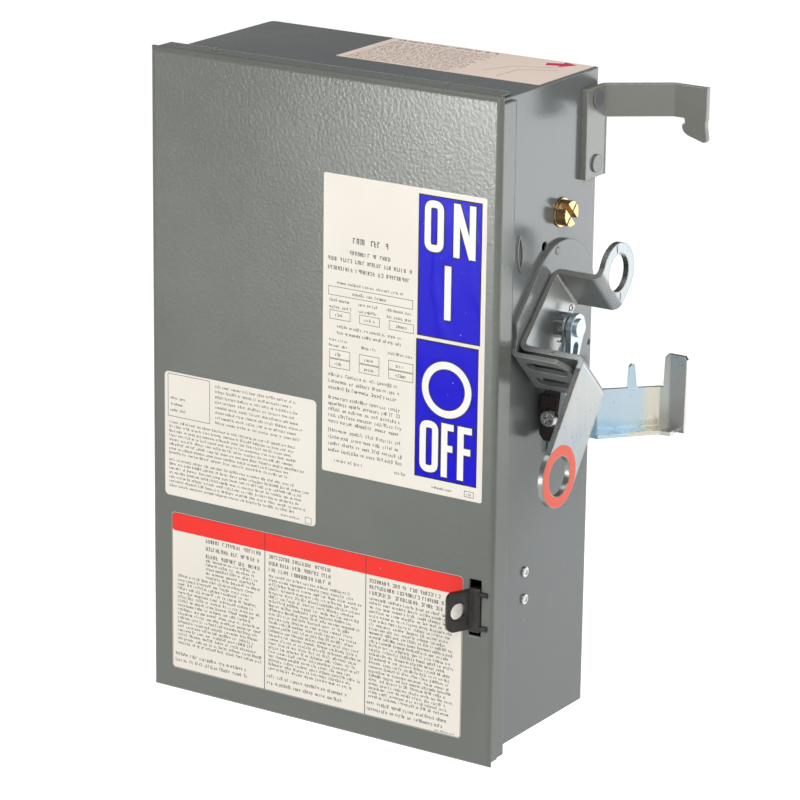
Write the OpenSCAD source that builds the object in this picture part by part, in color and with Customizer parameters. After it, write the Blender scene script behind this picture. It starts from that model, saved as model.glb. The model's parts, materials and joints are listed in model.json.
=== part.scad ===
// Busway tap off box: fused plug-in switch unit with a side hookstick handle.
// Millimetres, +Z up. Origin: centre of the enclosure's back face, the face that rests on the busway.
// -Y is the front (cover) side, +Y the busway side, +X the handle side.

/* [Enclosure] */
// Width of the enclosure along X
boxWidth = 214; // [160:1:300]
// Height of the enclosure along Z
boxHeight = 362; // [300:1:500]
// Depth from the back face to the front rim
boxDepth = 101.8; // [90:0.1:140]
// Sheet steel thickness
sheet = 1.5; // [1:0.1:3]

/* [Cover] */
// Depth of the cover's folded edge
coverFlange = 15; // [10:0.5:25]
// Side gap between the cover's left edge and the enclosure, where the hinge sits
hingeGap = 7.6; // [6:0.1:12]
// Distance the cover hangs below the enclosure
coverDrop = 8.1; // [4:0.1:15]
// Radius of the cover's bends
coverBend = 3; // [2:0.1:5]

/* [Hookstick handle] */
// Height of the pivot above the origin
pivotZ = 49.5; // [30:0.5:70]
// Depth of the pivot in front of the back face
pivotDepth = 47.8; // [30:0.1:60]
// Lean of the handle from upright
handleLean = 45; // [30:1:60]
// Thickness of the plated handle
handleThick = 3.2; // [2:0.1:5]
// Radius of the eyes that take the hookstick
eyeRadius = 10.8; // [8:0.1:14]
// Outer radius of the lower eye
eyeRim = 17; // [14:0.5:22]
// Turn of the handle from OFF to ON
handleTurn = 94; // [60:1:100]

/* [Hooks] */
// Height of the hanger strap
strapHeight = 18; // [12:0.5:30]
// Thickness of the hanger plate
hangerThick = 3.3; // [2:0.1:5]
// Height of the lower hook's web
hookWeb = 24.4; // [16:0.1:35]
// Distance the hook tips stand behind the back face
hookReach = 27; // [15:0.5:45]

/* [Latch] */
// Height of the latch body
latchHeight = 25; // [15:0.5:40]
// Radius of the padlock hole in the latch tab
latchHole = 4.75; // [3:0.05:6]

/* [Inside] */
// Spacing of the poles along X
polePitch = 48; // [40:0.5:60]
// X of the middle pole
poleMid = -14; // [-30:0.5:10]
// Radius of a fuse ferrule
fuseRadius = 10.3; // [7:0.1:14]
// Length of a fuse
fuseLength = 127; // [76:1:140]

/* [Hidden] */
$fn = 40;
fine = 64;
hw = boxWidth / 2;
hh = boxHeight / 2;
coverLeft = -hw - hingeGap - sheet;
coverRight = hw + 0.4 + sheet;
coverTop = hh + 0.4 + sheet;
coverBottom = -hh - coverDrop;
coverFront = -boxDepth - 1 - sheet;
coverBack = coverFront + coverFlange;
pivotY = -pivotDepth;
wallX = hw;
guardThick = 2.6;
plateX = wallX + 3.3;
armX = 151;
topEyeX = 139.5;
slotAs = [-14, 0.5];
hingeX = -hw - 4.5;
hingeY = -92;
hingeZs = [-110, 110];
hingeLength = 50;
poles = [poleMid - polePitch, poleMid, poleMid + polePitch];
bladeReach = 34;
baseFront = -10;
strapBack = -38.4;
strapFront = strapBack - 2;
fuseY = strapFront - 12.4;
fuseTop = -8;
jawZ = 104;
jawHeight = 42;
latchX = 98.6;
tabHalf = latchHeight / 2 - 1.2;
latchZ = -99.4;
shaftRadius = 6;
cotterX = 117.8;
pinRadius = 5;

// ---- folded sheet: a centre line with rounded corners, given thickness on both sides ----

function heading(p, i) = atan2(p[i + 1].y - p[i].y, p[i + 1].x - p[i].x);
function wrap(a) = a > 180 ? a - 360 : a < -180 ? a + 360 : a;
function turnAt(p, i) = wrap(heading(p, i) - heading(p, i - 1));
function leftOf(a) = [-sin(a), cos(a)];
function along(a) = [cos(a), sin(a)];
function bendCentre(p, i, r) =
    let (a = heading(p, i - 1), s = sign(turnAt(p, i)))
    p[i] - r * tan(abs(turnAt(p, i)) / 2) * along(a) + s * r * leftOf(a);
function bendArc(p, i, r, off) =
    let (a = heading(p, i - 1), t = turnAt(p, i), s = sign(t), c = bendCentre(p, i, r))
    [for (k = [0 : 6]) c + (r - s * off) * along(a - s * 90 + t * k / 6)];
function foldSide(p, r, off) = concat(
    [p[0] + off * leftOf(heading(p, 0))],
    [for (i = [1 : 1 : len(p) - 2]) each bendArc(p, i, r, off)],
    [p[len(p) - 1] + off * leftOf(heading(p, len(p) - 2))]);
function backwards(v) = [for (i = [len(v) - 1 : -1 : 0]) v[i]];
function foldOutline(p, t, r) = concat(foldSide(p, r, t / 2), backwards(foldSide(p, r, -t / 2)));

module folded(p, t, r, h) linear_extrude(h) polygon(foldOutline(p, t, r));

// ---- frames and small shapes ----

// Outline in (Y, Z), thickness along +X from x0
module alongX(x0, t) translate([x0, 0, 0]) rotate([90, 0, 90]) linear_extrude(t) children();

// Outline in (X, Z), thickness along +Y from y0
module alongY(y0, t) translate([0, y0 + t, 0]) rotate([90, 0, 0]) linear_extrude(t) children();

// Outline in (X, Y), thickness along +Z from z0
module alongZ(z0, t) translate([0, 0, z0]) linear_extrude(t) children();

// Frame on the pivot, leaning with the handle: Y runs down and back, Z runs up and back
module leaning() translate([0, pivotY, pivotZ]) rotate([-handleLean, 0, 0]) children();

module rodX(x0, x1, r) translate([x0, 0, 0]) rotate([0, 90, 0]) cylinder(r = r, h = x1 - x0);
module rodY(y0, y1, r) translate([0, y0, 0]) rotate([-90, 0, 0]) cylinder(r = r, h = y1 - y0);
module block(lo, hi) translate(lo) cube(hi - lo);
module slot2d(length, width) {
    square([length - width, width], center = true);
    for (s = [-1, 1]) translate([s * (length - width) / 2, 0]) circle(d = width);
}
module roundRect(w, h, r) {
    square([w - 2 * r, h], center = true);
    square([w, h - 2 * r], center = true);
    for (x = [-1, 1], y = [-1, 1]) translate([x * (w / 2 - r), y * (h / 2 - r)]) circle(r);
}
module rivetX(y, z, x0, x1, r, head) translate([0, y, z]) {
    rodX(x0, x1, r);
    rodX(x1 - 1.2, x1, head);
    rodX(x0, x0 + 1, head);
}

// ---- enclosure and cover ----

module enclosure() color([0.5, 0.52, 0.49]) difference() {
    union() {
        alongZ(-hh, boxHeight) difference() {
            polygon(concat([[-hw, -boxDepth], [hw, -boxDepth]],
                [for (k = [0 : 5]) [hw - 3, -3] + 3 * along(k * 18)],
                [for (k = [0 : 5]) [3 - hw, -3] + 3 * along(90 + k * 18)]));
        }
        wallRib();
    }
    block([-hw + sheet, -boxDepth + sheet, -hh + sheet], [hw - sheet, -sheet, hh - sheet]);
    block([-hw + 10, -boxDepth - 1, -hh + 10], [hw - sheet, -boxDepth + 5, hh - 10]);
    translate([0, pivotY, pivotZ]) rodX(hw - 5, hw + 5, 9.05);
    translate([0, -38, 108.6]) rodX(hw - 5, hw + 5, 8.05);
    for (z = [-86.5, -102.2]) translate([0, -67.6, z]) rodX(hw - 5, hw + 5, 2.03);
    for (z = [130, 165.6]) translate([0, -7.5, z]) rodX(hw - 5, hw + 5, 3.03);
    translate([0, -54.4, 92.9]) rodX(hw - 5, hw + 5, 2.75);
    for (q = guardRivetAt) leaning() translate([0, q.x, q.y]) rodX(hw - 5, hw + 5, 2.03);
    for (y = slideRivetY) translate([0, y, -12.3]) rodX(hw - 5, hw + 5, 2.53);
    block([poles[0] - 21, -5, jawZ - 19], [poles[2] + 21, 1, jawZ + 19]);
    block([poles[2] + 19, -5, jawZ - 9.2], [77, 1, jawZ + 9.2]);
    block([74.8, -5, jawZ - 16.2], [93.2, 1, jawZ + 16.2]);
    atRib() alongX(hw - 0.6, 3) rotate(90) lens2d(17.6, 3.7);
    translate([0, -4.3, 28.5]) rodX(hw - 0.8, hw + 5, 1.7);
}

module atRib() translate([0, -80.3, 94.4]) rotate([4, 0, 0]) children();

// Two arcs that meet in points
module lens2d(length, width) intersection() {
    r = (length * length + width * width) / width / 4;
    translate([0, width / 2 - r]) circle(r);
    translate([0, r - width / 2]) circle(r);
}

// Pressed rim round a lens-shaped hollow
module wallRib() atRib() alongX(hw - 0.5, 1.4) rotate(90) lens2d(21.4, 6);

module coverSolid(inset) intersection() {
    x0 = coverLeft + inset;
    x1 = coverRight - inset;
    z0 = coverBottom + inset;
    z1 = coverTop - inset;
    y0 = coverFront + inset;
    r = coverBend - inset * 0.66;
    yb = coverBack + (inset > 0 ? 1 : 0);
    alongZ(z0, z1 - z0) polygon(concat([[x1, yb], [x0, yb]],
        [for (k = [0 : 5]) [x0 + r, y0 + r] + r * along(180 + k * 18)],
        [for (k = [0 : 5]) [x1 - r, y0 + r] + r * along(270 + k * 18)]));
    alongX(x0, x1 - x0) polygon(concat([[yb, z1], [y0 + r, z1]],
        [for (k = [1 : 5]) [y0 + r, z1 - r] + r * along(90 + k * 18)],
        [for (k = [0 : 5]) [y0 + r, z0 + r] + r * along(180 + k * 18)], [[yb, z0]]));
}

module frontCover() color([0.5, 0.52, 0.49]) {
    difference() {
        coverSolid(0);
        coverSolid(sheet);
        for (x = [coverLeft, coverRight - sheet - 1.2], z = [coverBottom, coverTop - sheet - 1.2])
            block([x - 1, coverFront + coverBend, z - 1], [x + sheet + 2.2, coverBack + 1, z + sheet + 2.2]);
        block([latchX - 3.9, coverFront - 1, latchZ - 14.7], [latchX + 3.8, coverFront + 4, latchZ + 17.3]);
        for (z = hingeZs)
            block([coverLeft - 1, hingeY - 1.5, z - hingeLength / 2 - 1.5],
                [coverLeft + 4, coverBack + 1, z + hingeLength / 2 + 1.5]);
    }
    for (x = [-81.4, 67.5]) translate([x, coverBack - 2.4, coverTop - 0.3]) cylinder(r1 = 2, r2 = 1.2, h = 1.1);
}

// ---- hinges on the left edge, hidden in the side gap ----

// Knuckles of one leaf take alternate fifths of the hinge
module knuckles(z, which) for (k = which)
    translate([hingeX, hingeY, z - hingeLength / 2 + k * hingeLength / 5 + 0.15])
        difference() {
            cylinder(r = 2.9, h = hingeLength / 5 - 0.3);
            translate([0, 0, -1]) cylinder(r = 1.55, h = hingeLength);
        }

module boxHingeLeaves() color([0.62, 0.63, 0.62]) for (z = hingeZs) difference() {
    union() {
        knuckles(z, [0, 2, 4]);
        for (k = [0, 2, 4]) translate([0, 0, z - hingeLength / 2 + k * hingeLength / 5 + 0.15])
            linear_extrude(hingeLength / 5 - 0.3) polygon([[-hw - 2.6, hingeY - 1.2], [-hw, hingeY + 0.6],
                [-hw, hingeY + 5.5], [-hw - 1.2, hingeY + 5.5], [-hw - 2.6, hingeY + 1.6]]);
        block([-hw - 1.2, hingeY + 4.5, z - hingeLength / 2], [-hw, hingeY + 22, z + hingeLength / 2]);
    }
    translate([hingeX, hingeY, z - hingeLength]) cylinder(r = 1.55, h = hingeLength * 2);
}

module coverHingeLeaves() color([0.62, 0.63, 0.62]) for (z = hingeZs) difference() {
    union() {
        knuckles(z, [1, 3]);
        for (k = [1, 3]) translate([0, 0, z - hingeLength / 2 + k * hingeLength / 5 + 0.15])
            linear_extrude(hingeLength / 5 - 0.3) polygon([[coverLeft + sheet, hingeY - 4],
                [coverLeft + sheet, hingeY + 0.5], [hingeX - 1.7, hingeY + 0.5], [hingeX - 1.7, hingeY - 4]]);
        block([coverLeft + sheet, coverFront + sheet + 2.1, z - hingeLength / 2],
            [coverLeft + sheet + 1.2, hingeY - 3.5, z + hingeLength / 2]);
    }
    translate([hingeX, hingeY, z - hingeLength]) cylinder(r = 1.55, h = hingeLength * 2);
}

module hingePins() color([0.7, 0.71, 0.72]) for (z = hingeZs)
    translate([hingeX, hingeY, z - hingeLength / 2 - 1]) cylinder(r = 1.5, h = hingeLength + 2);

// ---- latch ----

module coverLatch() color([0.06, 0.06, 0.07]) {
    translate([latchX, 0, latchZ]) {
        alongY(coverFront - 0.9, 3.9) roundRect(7.1, latchHeight, 1);
        block([-6.4, coverFront + sheet + 0.2, -11], [5.4, coverFront + sheet + 1.3, 11]);
        for (z = [-9.6, 9.6]) block([3, coverFront - 1.5, z - 1.2], [8.1, coverFront - 0.3, z + 1.2]);
        difference() {
            translate([-3.5, coverFront - 0.5, 0]) rotate([0, 0, -25]) latchTab();
            block([-7, coverFront - 0.35, -20], [-3.55, coverFront + 4, 20]);
        }
    }
}

// Blade behind the latch, and the steel catch on its end that hooks behind the keeper
module latchBlade() color([0.06, 0.06, 0.07]) translate([latchX, 0, latchZ])
    alongZ(-8.5, 17) polygon([[-2, coverFront + 3], [2.2, coverFront + 3], [2.2, -79.6], [1.6, -79],
        [-1.4, -79], [-2, -79.6]]);

module latchCatch() color([0.66, 0.67, 0.68]) translate([latchX, 0, latchZ])
    alongX(-1.9, 4) polygon([[-81.9, 8.5], [-79.6, 8.5], [-79.6, 10.8], [-80.8, 12.2], [-81.9, 12.2]]);

// Tab that leans out of the cover, with the padlock hole and a raised diagonal rib
module latchTab() difference() {
    union() {
        alongX(-1.1, 2.2) polygon(concat([[0.6, -tabHalf], [0.6, tabHalf]],
            [for (k = [0 : 6]) [-10.5, tabHalf - 4] + 4 * along(90 + k * 15)],
            [for (k = [0 : 6]) [-10.5, 4 - tabHalf] + 4 * along(180 + k * 15)]));
        alongX(-1.5, 0.5) translate([-7.7, 0]) rotate(-38) square([2, 19], center = true);
    }
    translate([0, -7.7, 0]) rodX(-3, 3, latchHole);
}

module latchKeeper() color([0.66, 0.67, 0.68]) difference() {
    union() {
        block([hw - sheet - 1.8, -84, -112], [hw - sheet, -60, -74]);
        block([94, -84, -84.6], [hw - sheet, -82.2, -74]);
    }
    for (z = [-86.5, -102.2]) translate([0, -67.6, z]) rodX(hw - 5, hw + 5, 2.03);
}

module keeperRivets() color([0.6, 0.61, 0.6]) for (z = [-86.5, -102.2])
    translate([0, -67.6, z]) {
        rodX(hw - sheet - 2.8, hw + 0.8, 2);
        rodX(hw, hw + 0.8, 3);
        rodX(hw - sheet - 2.8, hw - sheet - 1.8, 3.2);
    }

// ---- hooks on the handle side ----

hangerMid = wallX + hangerThick / 2;
hangerPath = [[hangerMid, -18.3], [hangerMid, 2.6], [hangerMid + 30.4, hookReach - 1.5],
    [hangerMid + 51, hookReach - 1.5]];

// Wall plate, strap that flares clear of the enclosure, and a tab that hangs down
module hangerHook() color([0.5, 0.52, 0.49]) difference() {
    union() {
        alongZ(122.4, 49.5) intersection() {
            polygon(foldOutline(hangerPath, hangerThick, 4));
            translate([wallX - 1, -20]) square([8, 22]);
        }
        alongZ(171.9 - strapHeight, strapHeight) polygon(foldOutline(hangerPath, hangerThick, 4));
        hangerTab();
    }
    for (z = [130, 165.6]) translate([0, -7.5, z]) rodX(hw - 1, hw + 9, 3.03);
}

module hangerTab() alongY(hookReach - 1.5 - hangerThick / 2, hangerThick)
    polygon([[hangerMid + 32.6, 171.9], [hangerMid + 49, 171.9], [hangerMid + 51, 169.9],
        [hangerMid + 50.6, 150], [hangerMid + 51.7, 143.4], [hangerMid + 51, 142],
        [hangerMid + 49.4, 141.8], [hangerMid + 39.8, 144.7], [hangerMid + 37.5, 146.3],
        [hangerMid + 36.4, 148.4], [hangerMid + 36.4, 150.2], [hangerMid + 37.9, 151.2],
        [hangerMid + 38, 152.5], [hangerMid + 37.4, 153.9], [hangerMid + 32.6, 153.9]]);

module hookRivets() color([0.5, 0.52, 0.49]) for (z = [130, 165.6]) translate([0, -7.5, z]) {
    rodX(hw - sheet - 1, hw + hangerThick + 1.1, 3);
    rodX(hw + hangerThick, hw + hangerThick + 1.1, 5);
    rodX(hw - sheet - 1, hw - sheet, 4.6);
}

// Lower hook: slides along the wall, flares past the back and ends in an upright finger
hookMid = wallX + 0.5 + 1.25;
hookTop = 0;
hookPath = [[hookMid, -46.8], [hookMid, 2.5], [hookMid + 24, hookReach - 0.5], [hookMid + 25.2, hookReach + 1.6],
    [hookMid + 42, hookReach + 1.6]];
slideRivetY = [-34, -14];

module lowerHook() color([0.72, 0.74, 0.76]) difference() {
    union() {
        alongZ(hookTop - hookWeb, hookWeb) polygon(foldOutline(hookPath, 2.5, 2));
        alongZ(hookTop - 0.5, 13.8) polygon(foldOutline([[hookMid, -30], [hookMid, -46.8], [121.5, -46.8]], 2.5, 2));
        alongZ(hookTop - 12.5, 26.3) polygon(foldOutline([[hookMid, -40], [hookMid, -46.8], [121.5, -46.8]], 2.5, 2));
        hookFoot();
        hookFingers();
    }
    for (y = slideRivetY) translate([0, y + 3.25, -12.3]) alongX(hw - 2, 9) slot2d(11.9, 5.1);
    translate([116, 0, 0.6]) rodY(-60, -40, 2.52);
}

// Stiffening foot folded out along the bottom of the flared arm
module hookFoot() alongZ(hookTop - hookWeb, 2.2)
    polygon([[hookMid - 0.6, 1.4], [hookMid + 22.6, hookReach - 0.6], [hookMid + 25, hookReach + 1.6],
        [hookMid + 38, hookReach + 1.6], [hookMid + 38, hookReach - 8], [hookMid + 31.6, hookReach - 9.4],
        [hookMid + 8.4, -9], [hookMid - 0.6, -9]]);

module hookFingers() {
    alongY(hookReach + 0.35, 2.5) difference() {
        polygon([[hookMid + 27.4, hookTop - 20], [hookMid + 42, hookTop - 20], [hookMid + 42.6, 17.6],
            [hookMid + 41, 19.6], [hookMid + 30.8, 19.6], [hookMid + 29, 17.6]]);
    }
    translate([hookMid + 12.5, 15.4, 0]) rotate([0, 0, 46]) alongY(-1.25, 2.5)
        polygon([[-0.6, -3], [7, -3], [4.9, 1.5], [3.6, 13], [1.8, 13.6], [0.4, 12]]);
}

module driveBlock() color([0.05, 0.05, 0.055]) difference() {
    union() {
        alongY(-60.3, 12.2) polygon([[110, -9.5], [112.6, -12.6], [121.2, -12.6], [121.7, 13.4], [110, 13.4]]);
        translate([0, -56, 7.4]) rodX(121, 126, 2.4);
    }
    translate([116, 0, 0.6]) rodY(-66, -40, 2.52);
}

module blockScrew() color([0.6, 0.61, 0.62]) translate([116, 0, 0.6]) difference() {
    union() {
        rodY(-61, -44.4, 2.5);
        translate([0, -62.8, 0]) rotate([-90, 0, 0]) cylinder(r1 = 4.2, r2 = 5.4, h = 2.5);
    }
    for (a = [20, 110]) rotate([0, a, 0]) block([-2.9, -63.2, -0.55], [2.9, -61.2, 0.55]);
}

module slideRivets() color([0.66, 0.67, 0.68]) for (y = slideRivetY) translate([0, y, -12.3]) {
    rodX(hw - sheet - 1, hw + 0.45, 2.5);
    rodX(hw + 0.4, hw + 3.4, 2.5);
    rodX(hw + 3.35, hw + 4.6, 4.4);
    rodX(hw - sheet - 1, hw - sheet, 4);
}

// ---- release screw of the interlock ----

module releaseScrew() color([0.72, 0.53, 0.24]) translate([0, -38, 108.6]) difference() {
    union() {
        rodX(hw + 1.4, hw + 6.8, 7);
        rodX(hw - 9, hw + 1.5, 4);
        rodX(hw - 12, hw - 6.2, 6.5);
        alongX(hw - 12, 2.5) rotate(200) translate([0, -5]) square([17, 10]);
    }
    rotate([-44, 0, 0]) block([hw + 2.6, -8, -1.7], [hw + 8, 8, 1.7]);
    rotate([47, 0, 0]) block([hw + 5, -8, -0.55], [hw + 8, 8, 0.55]);
}

module releaseBush() color([0.66, 0.67, 0.68]) translate([0, -38, 108.6]) difference() {
    union() {
        rodX(hw - 5.9, hw + 1.1, 8);
        rodX(hw - 4.2, hw - sheet, 11);
    }
    rodX(hw - 8, hw + 4, 4.06);
}

// ---- padlock guard, fixed to the wall behind the handle ----

guardRivetAt = [[-26, 30], [12, 36], [-27, -12]];
guardFlangeB = -33.7;

module padlockGuard() color([0.5, 0.52, 0.49]) difference() {
    union() {
        leaning() intersection() {
            translate([0, 42, 0]) rotate([90, 0, 0]) folded([[wallX + guardThick / 2, 60],
                [wallX + guardThick / 2, guardFlangeB], [142, guardFlangeB]], guardThick, 3, 84);
            alongX(wallX - 1, 40) union() {
                translate([-1, 14.8]) circle(33, $fn = fine);
                polygon([[-33.5, 14.8], [-32.5, -21], [-26, -26], [-23, -31], [-23, -36], [9, -36], [9, -31],
                    [29.5, 3], [30, 14.8]]);
            }
        }
    }
    leaning() {
        translate([0, 0, -40]) linear_extrude(12) {
            translate([142, -23]) rotate(45) square(9, center = true);
            translate([142, 9]) rotate(45) square(5, center = true);
            for (a = slotAs) translate([127, a]) slot2d(25, 8);
        }
        for (q = guardRivetAt) translate([0, q.x, q.y]) rodX(wallX - 1, wallX + 9, 2.03);
    }
    translate([0, pivotY, pivotZ]) rodX(wallX - 1, wallX + 9, 9.05);
}

module guardRivets() color([0.5, 0.52, 0.49]) leaning() for (q = guardRivetAt) translate([0, q.x, q.y]) {
    rodX(wallX - sheet - 1, wallX + guardThick + 0.25, 2);
    rodX(wallX - sheet - 1, wallX - sheet, 3.4);
}

// ---- hookstick handle: one blank with two folded ears, each ending in an eye ----

handleMid = plateX + handleThick / 2;
lowFlangeB = -28.8;
topFlangeB = 19.6;
handleFold = [[armX - handleThick / 2, -110], [armX - handleThick / 2, lowFlangeB], [handleMid, lowFlangeB],
    [handleMid, topFlangeB], [topEyeX - handleThick / 2, topFlangeB], [topEyeX - handleThick / 2, 60]];

// Flat outline of the blank seen along X, with the discs of both eyes
module handleBlank() {
    alongX(plateX - 1, 50) polygon([[-24, 31], [-23, 20], [-23, -35], [-15.2, -84.5], [1.5, -87], [18.2, -84],
        [12.7, -52], [10.6, -36], [9.6, -32], [9.6, 6], [7.5, 14], [8, 31]]);
    translate([0, 1.5, -87]) rodX(plateX - 1, plateX + 49, eyeRim, $fn = fine);
    translate([0, -8.5, 32.5]) rodX(plateX - 1, plateX + 49, eyeRim - 0.5, $fn = fine);
}

module switchHandle() color([0.74, 0.77, 0.8]) leaning() difference() {
    intersection() {
        translate([0, 40, 0]) rotate([90, 0, 0]) folded(handleFold, handleThick, 3.4, 80);
        handleBlank();
    }
    rodX(plateX - 1, plateX + 5, pinRadius + 0.03);
    translate([0, 1.5, -87]) rodX(armX - 6, armX + 2, eyeRadius, $fn = fine);
    translate([0, -8.5, 32.5]) rodX(topEyeX - 6, topEyeX + 2, eyeRadius - 0.3, $fn = fine);
    translate([0, 0, -40]) linear_extrude(14) translate([127, slotAs[1]]) slot2d(21, 5.4);
    for (a = [145, -35]) translate([topEyeX, -8.5, 32.5]) rotate([a, 0, 0])
        block([-0.3, 11.6, -0.4], [1, 15.6, 0.4]);
}

module handleShaft() color([0.68, 0.7, 0.72]) translate([0, pivotY, pivotZ]) difference() {
    union() {
        rodX(-98, plateX - 0.1, shaftRadius);
        rodX(plateX - 0.2, 127, pinRadius);
        rodX(98, 101.5, 9);
    }
    translate([cotterX, 0, 0]) rotate([-30, 0, 0]) cylinder(r = 1.05, h = 30, center = true);
}

module shaftNut() color([0.6, 0.62, 0.64]) translate([0, pivotY, pivotZ]) difference() {
    translate([plateX + handleThick, 0, 0]) rotate([0, 90, 0]) cylinder(r = 7.5, h = 6, $fn = 6);
    rodX(plateX, 125, pinRadius + 0.03);
    for (a = [0, 60, 120]) rotate([a, 0, 0]) block([cotterX - 1.2, -9, -1.2], [121, 9, 1.2]);
}

module cotterPin() color([0.7, 0.7, 0.68]) translate([cotterX, pivotY, pivotZ]) rotate([-30, 0, 0]) {
    translate([0, 0, -8.6]) cylinder(r = 1, h = 17.4);
    translate([0, 0, 9.4]) sphere(1.7);
    for (s = [-1, 1]) translate([s * 0.4, 0, -8.3]) rotate([0, s * 112, 0]) cylinder(r = 0.7, h = 2.2);
}

module shaftBush() color([0.66, 0.67, 0.68]) translate([0, pivotY, pivotZ]) difference() {
    union() {
        rodX(hw - 5, wallX + guardThick, 9);
        rodX(hw - 4, hw - sheet, 13);
    }
    rodX(hw - 9, wallX + 9, shaftRadius + 0.06);
}

linkLean = atan2(-56 - pivotY, pivotZ - 7.4);

// Lever hung on the pin, its slot working the drive block below
module slottedLink() color([0.74, 0.77, 0.8]) translate([0, pivotY, pivotZ]) rotate([linkLean, 0, 0])
    difference() {
        alongX(122, 3.2) difference() {
            union() {
                circle(7.6, $fn = fine);
                polygon([[-7.4, -1.5], [-4.9, -14], [-4.7, -46], [4.7, -46], [4.9, -14], [7.4, -1.5]]);
                translate([0, -46]) circle(4.7);
            }
            translate([0, -27.6]) rotate(90) slot2d(40, 5.4);
        }
        rodX(120, 128, pinRadius + 0.05);
    }

// ---- switch: base, crossbar and contacts ----

module switchBase() color([0.86, 0.84, 0.78]) difference() {
    union() {
        block([poles[0] - 40, baseFront, 9], [poles[2] + 46, -sheet, 148]);
        for (x = poles) {
            block([x - 8, -40, 94], [x + 8, baseFront + 1, 110]);
            block([x - 8, strapBack, 9], [x + 8, baseFront + 1, 13.8]);
        }
    }
    for (x = poles) {
        block([x - 6.2, -41, 99.8], [x + 6.2, 0, 102.2]);
        block([x - 6.2, -41, 98.6], [x + 6.2, -38.6, 102.2]);
    }
    for (p = baseScrewAt) translate([p.x, 0, p.y]) rodY(-12, 0, 2.53);
    for (x = bearingXs, z = bearingScrewZs) translate([x + 5, 0, z]) rodY(-12, 0, 2.03);
}

baseScrewAt = [[poles[0] - 32, 16], [poles[2] + 38, 16], [poles[0] - 32, 138], [poles[2] + 38, 138]];
bearingXs = [poles[0] - 39, poles[2] + 35];
bearingScrewZs = [pivotZ - 21, pivotZ + 21];

module baseScrews() color([0.66, 0.67, 0.68]) {
    for (p = baseScrewAt) translate([p.x, 0, p.y]) {
        rodY(baseFront - 0.1, -sheet, 2.5);
        rodY(baseFront - 2.4, baseFront, 4.5);
    }
    for (x = bearingXs, z = bearingScrewZs) translate([x + 5, 0, z]) {
        rodY(baseFront - 5.1, -sheet, 2);
        rodY(baseFront - 7, baseFront - 5, 3.5);
    }
}

module bearingBlocks() color([0.2, 0.2, 0.21]) for (x = bearingXs) difference() {
    union() {
        translate([0, pivotY, pivotZ]) rodX(x, x + 10, 11);
        alongX(x, 10) polygon([[pivotY, pivotZ - 11], [baseFront - 2, pivotZ - 16], [baseFront - 2, pivotZ + 16],
            [pivotY, pivotZ + 11]]);
        block([x, baseFront - 5, pivotZ - 26], [x + 10, baseFront, pivotZ + 26]);
    }
    translate([0, pivotY, pivotZ]) rodX(x - 1, x + 11, shaftRadius + 0.06);
    for (z = bearingScrewZs) translate([x + 5, 0, z]) rodY(-30, 0, 2.03);
}

// Moulded crossbar on the shaft, one grooved hub for each pole
module switchRotor() color([0.12, 0.12, 0.13]) translate([0, pivotY, pivotZ]) difference() {
    union() {
        rodX(poles[0] - 24, poles[2] + 24, 11);
        for (x = poles, s = [-1, 1]) rodX(x + s * 6 - 4.4, x + s * 6 + 4.4, 15);
    }
    rodX(poles[0] - 30, poles[2] + 30, shaftRadius + 0.03);
    for (x = poles) difference() {
        rodX(x - 1.55, x + 1.55, 20);
        rodX(x - 2, x + 2, 9.6);
    }
}

module movingBlades() color([0.75, 0.45, 0.3]) translate([0, pivotY, pivotZ]) rotate([handleTurn, 0, 0])
    for (x = poles) alongX(x - 1.5, 3) difference() {
        union() {
            circle(13.5);
            square([11, 2 * bladeReach], center = true);
        }
        circle(9.65);
    }

// A forked contact: two leaves that take the blade, on a bridge
module fork(z0, z1, bridgeLow) {
    for (s = [-1, 1]) block([s * 2.45 - 0.85, -56, z0], [s * 2.45 + 0.85, -40, z1]);
    if (bridgeLow) block([-3.5, -56, z0], [3.5, -40, z0 + 2.6]);
    else block([-3.5, -56, z1 - 2.6], [3.5, -40, z1]);
}

module lineContacts() color([0.75, 0.45, 0.3]) for (x = poles) translate([x, 0, 0]) {
    fork(72, 90, false);
    alongX(-6, 12) polygon(foldOutline([[-56, 90.9], [-41, 90.9], [-41, 101], [5, 101]], 2, 2));
}

module loadContacts() color([0.75, 0.45, 0.3]) for (x = poles) translate([x, 0, 0]) {
    fork(11.2, 27, true);
    block([-6, strapFront, -25], [6, strapBack, 13.8]);
}

module phaseBarriers() color([0.78, 0.74, 0.66]) for (x = [poleMid - polePitch / 2, poleMid + polePitch / 2])
    difference() {
        alongX(x - 1, 2) polygon([[-84, -145], [strapBack, -145], [strapBack, 8.4], [baseFront, 8.4],
            [baseFront, 146], [-84, 146], [-84, 68], [pivotY, 68], [pivotY, 31], [-84, 31]]);
        translate([0, pivotY, pivotZ]) rodX(x - 4, x + 4, 18.5);
    }

module lineShield() color([0.85, 0.88, 0.9, 0.6])
    block([poles[0] - 30, -86, 70], [poles[2] + 30, -84, 146]);

// ---- fuses ----

module fuseBase() color([0.86, 0.84, 0.78]) difference() {
    block([poles[0] - 26, strapBack, -168], [poles[2] + 26, -sheet, 8]);
    block([poles[0] - 21, -33, -163], [poles[2] + 21, 0, 3]);
}

// Spring clip that opens to the front around a ferrule
module fuseClip(z, h) translate([0, fuseY, z]) {
    linear_extrude(h) difference() {
        circle(fuseRadius + 1.35);
        circle(fuseRadius + 0.1);
        polygon([[0, 0], [-15, -20], [15, -20]]);
    }
    block([-5, fuseRadius + 0.6, 0], [5, 12.4, h]);
}

module lineFuseClips() color([0.78, 0.72, 0.62]) for (x = poles) translate([x, 0, 0])
    fuseClip(fuseTop - 14, 12);

module loadFuseClips() color([0.78, 0.72, 0.62]) for (x = poles) translate([x, 0, 0])
    fuseClip(fuseTop - fuseLength + 2, 12);

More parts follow.
